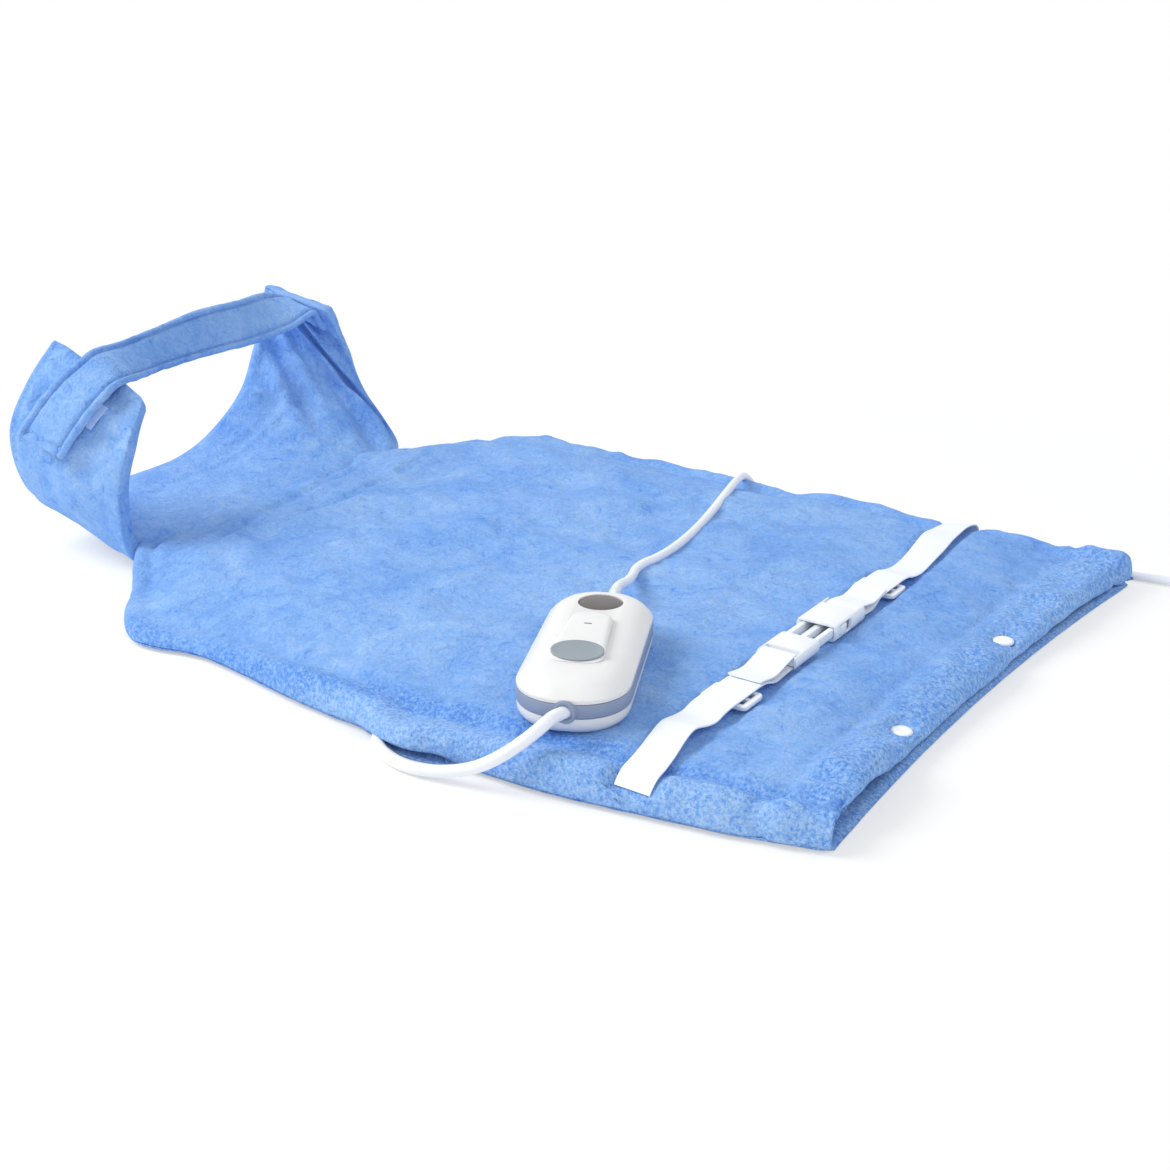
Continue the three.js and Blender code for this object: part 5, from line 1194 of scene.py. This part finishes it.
def belt_line(side, start, wave, adjuster, bar):
    """Height along the belt: from the pad's edge, over the adjuster, round the buckle's bar and back on itself."""
    over = [(29, ADJUSTER_LOW), (20, ADJUSTER_OVER - 0.4), (0, ADJUSTER_OVER + 0.3), (-19, ADJUSTER_OVER - 0.4)]
    loop = [
        (20, BAR_UNDER - 0.6), (8, BAR_UNDER - 0.2), (1, BAR_UNDER), (-2.6, BAR_UNDER + 0.1),
        (-3.4, BAR_UNDER + 1.3), (-3.4, BAR_ABOVE - 1.3), (-2.6, BAR_ABOVE - 0.1), (1, BAR_ABOVE),
        (8, BAR_ABOVE - 1), (20, BAR_UNDER + 3.2), (27, BAR_UNDER + 3.8), (33, ADJUSTER_OVER + 1.6),
        (37, ADJUSTER_OVER + 2.3),
    ]
    route = [(0, y, z) for y, z in [*start, *wave]]
    route += [(0, adjuster + side * reach, z) for reach, z in over]
    route += [(0, bar + side * reach, z) for reach, z in loop]
    return even_steps(smooth_curve(route, np.linspace(0, 1, 600)), 1.2)


def ribbon(name, line, sway):
    """Webbing along the line: a flat band with rounded selvedges. sway leans and shifts it in the slack stretches."""
    along = unit(np.gradient(line, axis=0))
    rise = columns(np.zeros(len(line)), -along[:, 2], along[:, 1])
    rise *= np.sign(along[0, 1]) if along[0, 1] else 1
    half = WEB_WIDTH / 2
    section = [(q * half, 0.5 * WEB_THICK * (0.55 + 0.45 * (1 - abs(q) ** 8))) for q in np.linspace(-1, 1, 13)]
    section += [(x, -h) for x, h in section[::-1]]
    across, height = np.array(section).T
    run = run_along(line)
    points, uvs, faces = [], [], []
    for place, up, lean, shift in zip(line, rise, *sway(line[:, 1])):
        ring = place + np.outer(height, up)
        ring[:, 0] += BELT_X + across + shift
        ring[:, 2] += across * lean
        points.append(ring)
    count = len(section)
    for k in range(len(line) - 1):
        for j in range(count):
            corners = ((k, j), (k, (j + 1) % count), (k + 1, (j + 1) % count), (k + 1, j))
            faces.append([a * count + b for a, b in corners])
            uvs += [(run[a] * MM, across[b] * MM) for a, b in corners]
    for first in (0, (len(line) - 1) * count):
        for j in range(count // 2 - 1):
            faces.append((first + j, first + j + 1, first + count - 2 - j, first + count - 1 - j))
            uvs += [(0.0, 0.0)] * 4
    piece = mesh_piece(name, lay(np.concatenate(points)), faces, uvs)
    edit(piece)
    face_outward()
    smooth(piece, 50)
    return piece


def near_sway(y):
    return 0.1 * np.sin((y + 200) / 13) * ridge(y + 170, 28), -3 * ridge(y + 168, 24)


def far_sway(y):
    lean = 0.09 * np.sin((y - 90) / 15) * ridge(y - 140, 40) + 0.16 * smoothstep(y, 150, 200)
    return lean, -far_drift(y)


def build_belt(web):
    near = ribbon("belt_near_web", belt_line(-1, NEAR_START, NEAR_WAVE, -122, -71), near_sway)
    dress(near, web, None, "webbing", "belt_near")
    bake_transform(near)
    far = ribbon("belt_far_web", belt_line(1, FAR_START, FAR_WAVE, 58, 10), far_sway)
    dress(far, web, "pad", "webbing", "belt_far")


# The heating insert: each felt layer, its solid and what it rests on
FELT_LAYERS = (
    ("felt_under", "insert_lower_layer", "cover_bottom"),
    ("felt_over", "insert_upper_layer", "felt_under"),
)
FELT_CORNER = 18
FELT_CHANNEL = 30


def build_insert(felt):
    """Two felt layers with the heating wire stitched between them in channels."""
    across = np.linspace(0, 1, 73)
    for name, node, rest in FELT_LAYERS:
        low, high = (np.array(corner) / MM - HEM_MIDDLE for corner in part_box(node))
        size = high - low
        rows = []
        for x in np.linspace(low[0], high[0], 71):
            corner = np.clip(FELT_CORNER - min(x - low[0], high[0] - x), 0, FELT_CORNER)
            inset = FELT_CORNER - math.sqrt(FELT_CORNER ** 2 - corner ** 2)
            y = low[1] + inset + across * (size[1] - 2 * inset)
            z = high[2] - 0.25 * np.abs(np.sin(math.pi * (y - low[1]) / FELT_CHANNEL)) ** 0.5
            rows.append(columns(np.full(len(y), x), y, z))
        layer = grid_piece(name, rows)
        apply_modifier(layer, "SOLIDIFY", thickness=(size[2] - 0.4) * MM, offset=-1.0, use_rim=True)
        smooth(layer, 40)
        dress(layer, felt, "pad", "felt", node)


def dress_solids(groups):
    """The solids inside, which keep their own shape, get the materials they are made of."""
    for material, nodes in groups:
        for node in nodes.split():
            data = bpy.data.objects[node].data
            data.materials.clear()
            data.materials.append(material)


# Buckle and adjusters: name, solid, rounding, body and steps of the rounding
WHITE_HARDWARE = (
    ("buckle_socket_half", "buckle_female", 1.1, "pad", 3),
    ("buckle_plug_half", "buckle_male", 0.8, "buckle_plug", 3),
    ("latch_arm_left", "buckle_arm_left", 0.6, "latch_left", 3),
    ("latch_arm_right", "buckle_arm_right", 0.6, "latch_right", 3),
    ("slide_near", "adjuster_near", 0.6, "near_adjuster", 2),
    ("slide_far", "adjuster_far", 0.6, "far_adjuster", 2),
)


def build_hardware(acetal, jacket, steel, black):
    for name, node, width, body, segments in WHITE_HARDWARE:
        refined(name, node, width, body, "white_plastic", acetal, segments)
    plug = refined("mains_plug", "plug_body", 2.4, "pad", "cord_jacket", jacket, 4)
    pins = [refined("mains_pin_%d" % k, "plug_pin_%d" % k, 0.3, "pad", "steel", steel) for k in (1, 2)]
    tie = refined("coil_tie", "cord_tie", 0.3, "pad", "black_plastic", black)
    refined("lead_sleeve", "lead_grommet", 0.5, "pad", "cord_jacket", jacket)
    return [plug, *pins, tie]


# Floor and light

# Each light's name, place, size and power
SOFTBOXES = (
    ("key_softbox", (-1.5, -1.0, 1.6), 1.5, 40.0),
    ("fill_softbox", (1.6, -0.4, 1.5), 1.8, 8.0),
)
ROOM_TINT = (0.93, 0.97, 1.04, 1.0)
ROOM_POWER = 0.64
WHITE = (1, 1, 1, 1)


def floor_material():
    """White seamless paper. Away from the object it fades to the white of the backdrop."""
    m = new_material("white_paper")
    away = add(m, "VectorMath", {"operation": "LENGTH"}, i0=add(m, "TexCoord").outputs["Object"]).outputs["Value"]
    fade = ranged(m, away, 0.25, 0.7, 0.45, interpolation_type="SMOOTHSTEP")
    share = maths(m, "MULTIPLY", fade, seen_directly(m))
    paper = add(m, "BsdfDiffuse", Color=linear("#FFFDF9"))
    glow = add(m, "Emission", Color=WHITE, Strength=1.0)
    mixed = add(m, "MixShader", i0=share, i1=paper.outputs[0], i2=glow.outputs[0])
    add(m, "OutputMaterial", Surface=mixed.outputs[0])
    return m


def build_studio():
    nothing_selected()
    bpy.ops.mesh.primitive_plane_add(size=40, location=(0, 0, -0.0005))
    floor = bpy.context.object
    floor.name = "paper_floor"
    floor.data.materials.append(floor_material())
    world = bpy.data.worlds.new("studio")
    world.use_nodes = True
    world.node_tree.nodes.clear()
    room = add(world, "Background", Color=ROOM_TINT, Strength=ROOM_POWER)
    backdrop = add(world, "Background", Color=WHITE, Strength=1.0)
    mixed = add(world, "MixShader", i0=seen_directly(world), i1=room.outputs[0], i2=backdrop.outputs[0])
    add(world, "OutputWorld", Surface=mixed.outputs[0])
    bpy.context.scene.world = world
    for name, place, size, power in SOFTBOXES:
        lamp = bpy.data.lights.new(name, "AREA")
        lamp.shape = "DISK"
        lamp.size = size
        lamp.energy = power
        holder = linked(name, lamp)
        holder.location = place
        holder.rotation_euler = (-Vector(place)).to_track_quat("-Z", "Y").to_euler()
    bpy.context.scene.view_settings.view_transform = "Standard"


def place_camera():
    level = math.cos(CAMERA_RISE)
    back = Vector((math.sin(CAMERA_TURN) * level, -math.cos(CAMERA_TURN) * level, math.sin(CAMERA_RISE)))
    data = bpy.data.cameras.new("photo_view")
    data.sensor_width = 36
    data.lens = CAMERA_LENS
    camera = linked("photo_view", data)
    camera.location = Vector(lay(CAMERA_TARGET)) + back * CAMERA_DISTANCE
    camera.rotation_euler = back.to_track_quat("Z", "Y").to_euler()
    bpy.context.scene.camera = camera


def build_cords(jacket):
    line = pad_lead_line()
    lead = round_cord("pad_cord", line, PAD_LEAD_DIAMETER)
    dress(lead, jacket, "pad", "cord_jacket", "pad_lead")
    line = mains_line()
    mains = round_cord("mains_cord", line, MAINS_DIAMETER)
    dress(mains, jacket, "pad", "cord_jacket", "mains_lead", "mains_coil")
    return mains, line


place_camera()
cord_jacket = moulded("pvc_cord_jacket", "#F4F5F9", "#EBEDF3", 0.42)
mains_cord, mains_route = build_cords(cord_jacket)

cover_plush = plush("coral_fleece", "#A9CBF3", "#84B1ED", "#568EE0")
white_web = webbing("polypropylene_webbing", "#F8FAFD")
pale_loop = webbing("brushed_loop_tape", "#AFCDF7", True)
case_white = moulded("abs_case", "#EEECE9", "#E7E5E2", 0.32)
band_blue = moulded("abs_band", "#8F9BB4", "#8592AD", 0.4)
grip_grey = moulded("soft_touch_rubber", "#9AA3A9", "#8F989F", 0.55)
mark_grey = moulded("pad_printed_ink", "#8A8F96", "#7E848B", 0.5)
dark_lens = moulded("smoked_lens", "#5E5753", "#524B48", 0.12)
acetal_white = moulded("acetal_buckle", "#F9FAFB", "#F3F5F8", 0.34)
tie_black = moulded("polyester_tie", "#2A2C30", "#1E2023", 0.7)
pin_steel = moulded("nickel_plated_brass", "#C9CBCE", "#B4B7BB", 0.25, Metallic=1.0)

build_cover_top(cover_plush)
build_cover_bottom(cover_plush)
collar_sheet = build_collar(cover_plush)
neck_strap = build_strap(cover_plush, collar_sheet)
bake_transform(neck_strap)
build_patches(collar_sheet, pale_loop, white_web)
build_base(case_white)
build_band(band_blue)
build_lid(case_white)
build_window(dark_lens)
build_slider(case_white, grip_grey, mark_grey)
relief = build_fittings(band_blue, cord_jacket)
build_snaps(acetal_white)
build_belt(white_web)
cord_pieces = build_hardware(acetal_white, cord_jacket, pin_steel, tie_black)
build_insert(plush("needled_felt", "#EFEBE1", "#E6E1D5", "#D9D3C5"))
part_black = moulded("glass_filled_nylon", "#2B2D31", "#212326", 0.5)
amber = moulded("amber_resin", "#E4A848", "#D5962F", 0.25)
dress_solids([
    (moulded("silicone_wire", "#DCE1E6", "#D0D6DC", 0.6), "heating_wire"),
    (part_black, "thermal_cutout lead_junction slide_switch switch_knob power_triac"),
    (cord_jacket, "inner_lead"),
    (acetal_white, "snap_socket_near snap_socket_far snap_stud_near snap_stud_far"),
    (pin_steel, "case_screw_1 case_screw_2 case_screw_3 case_screw_4 mains_fuse"),
    (moulded("glass_epoxy_board", "#34734B", "#2A6240", 0.6), "circuit_board"),
    (amber, "film_capacitor indicator_light_1 indicator_light_2 indicator_light_3"),
])
build_studio()
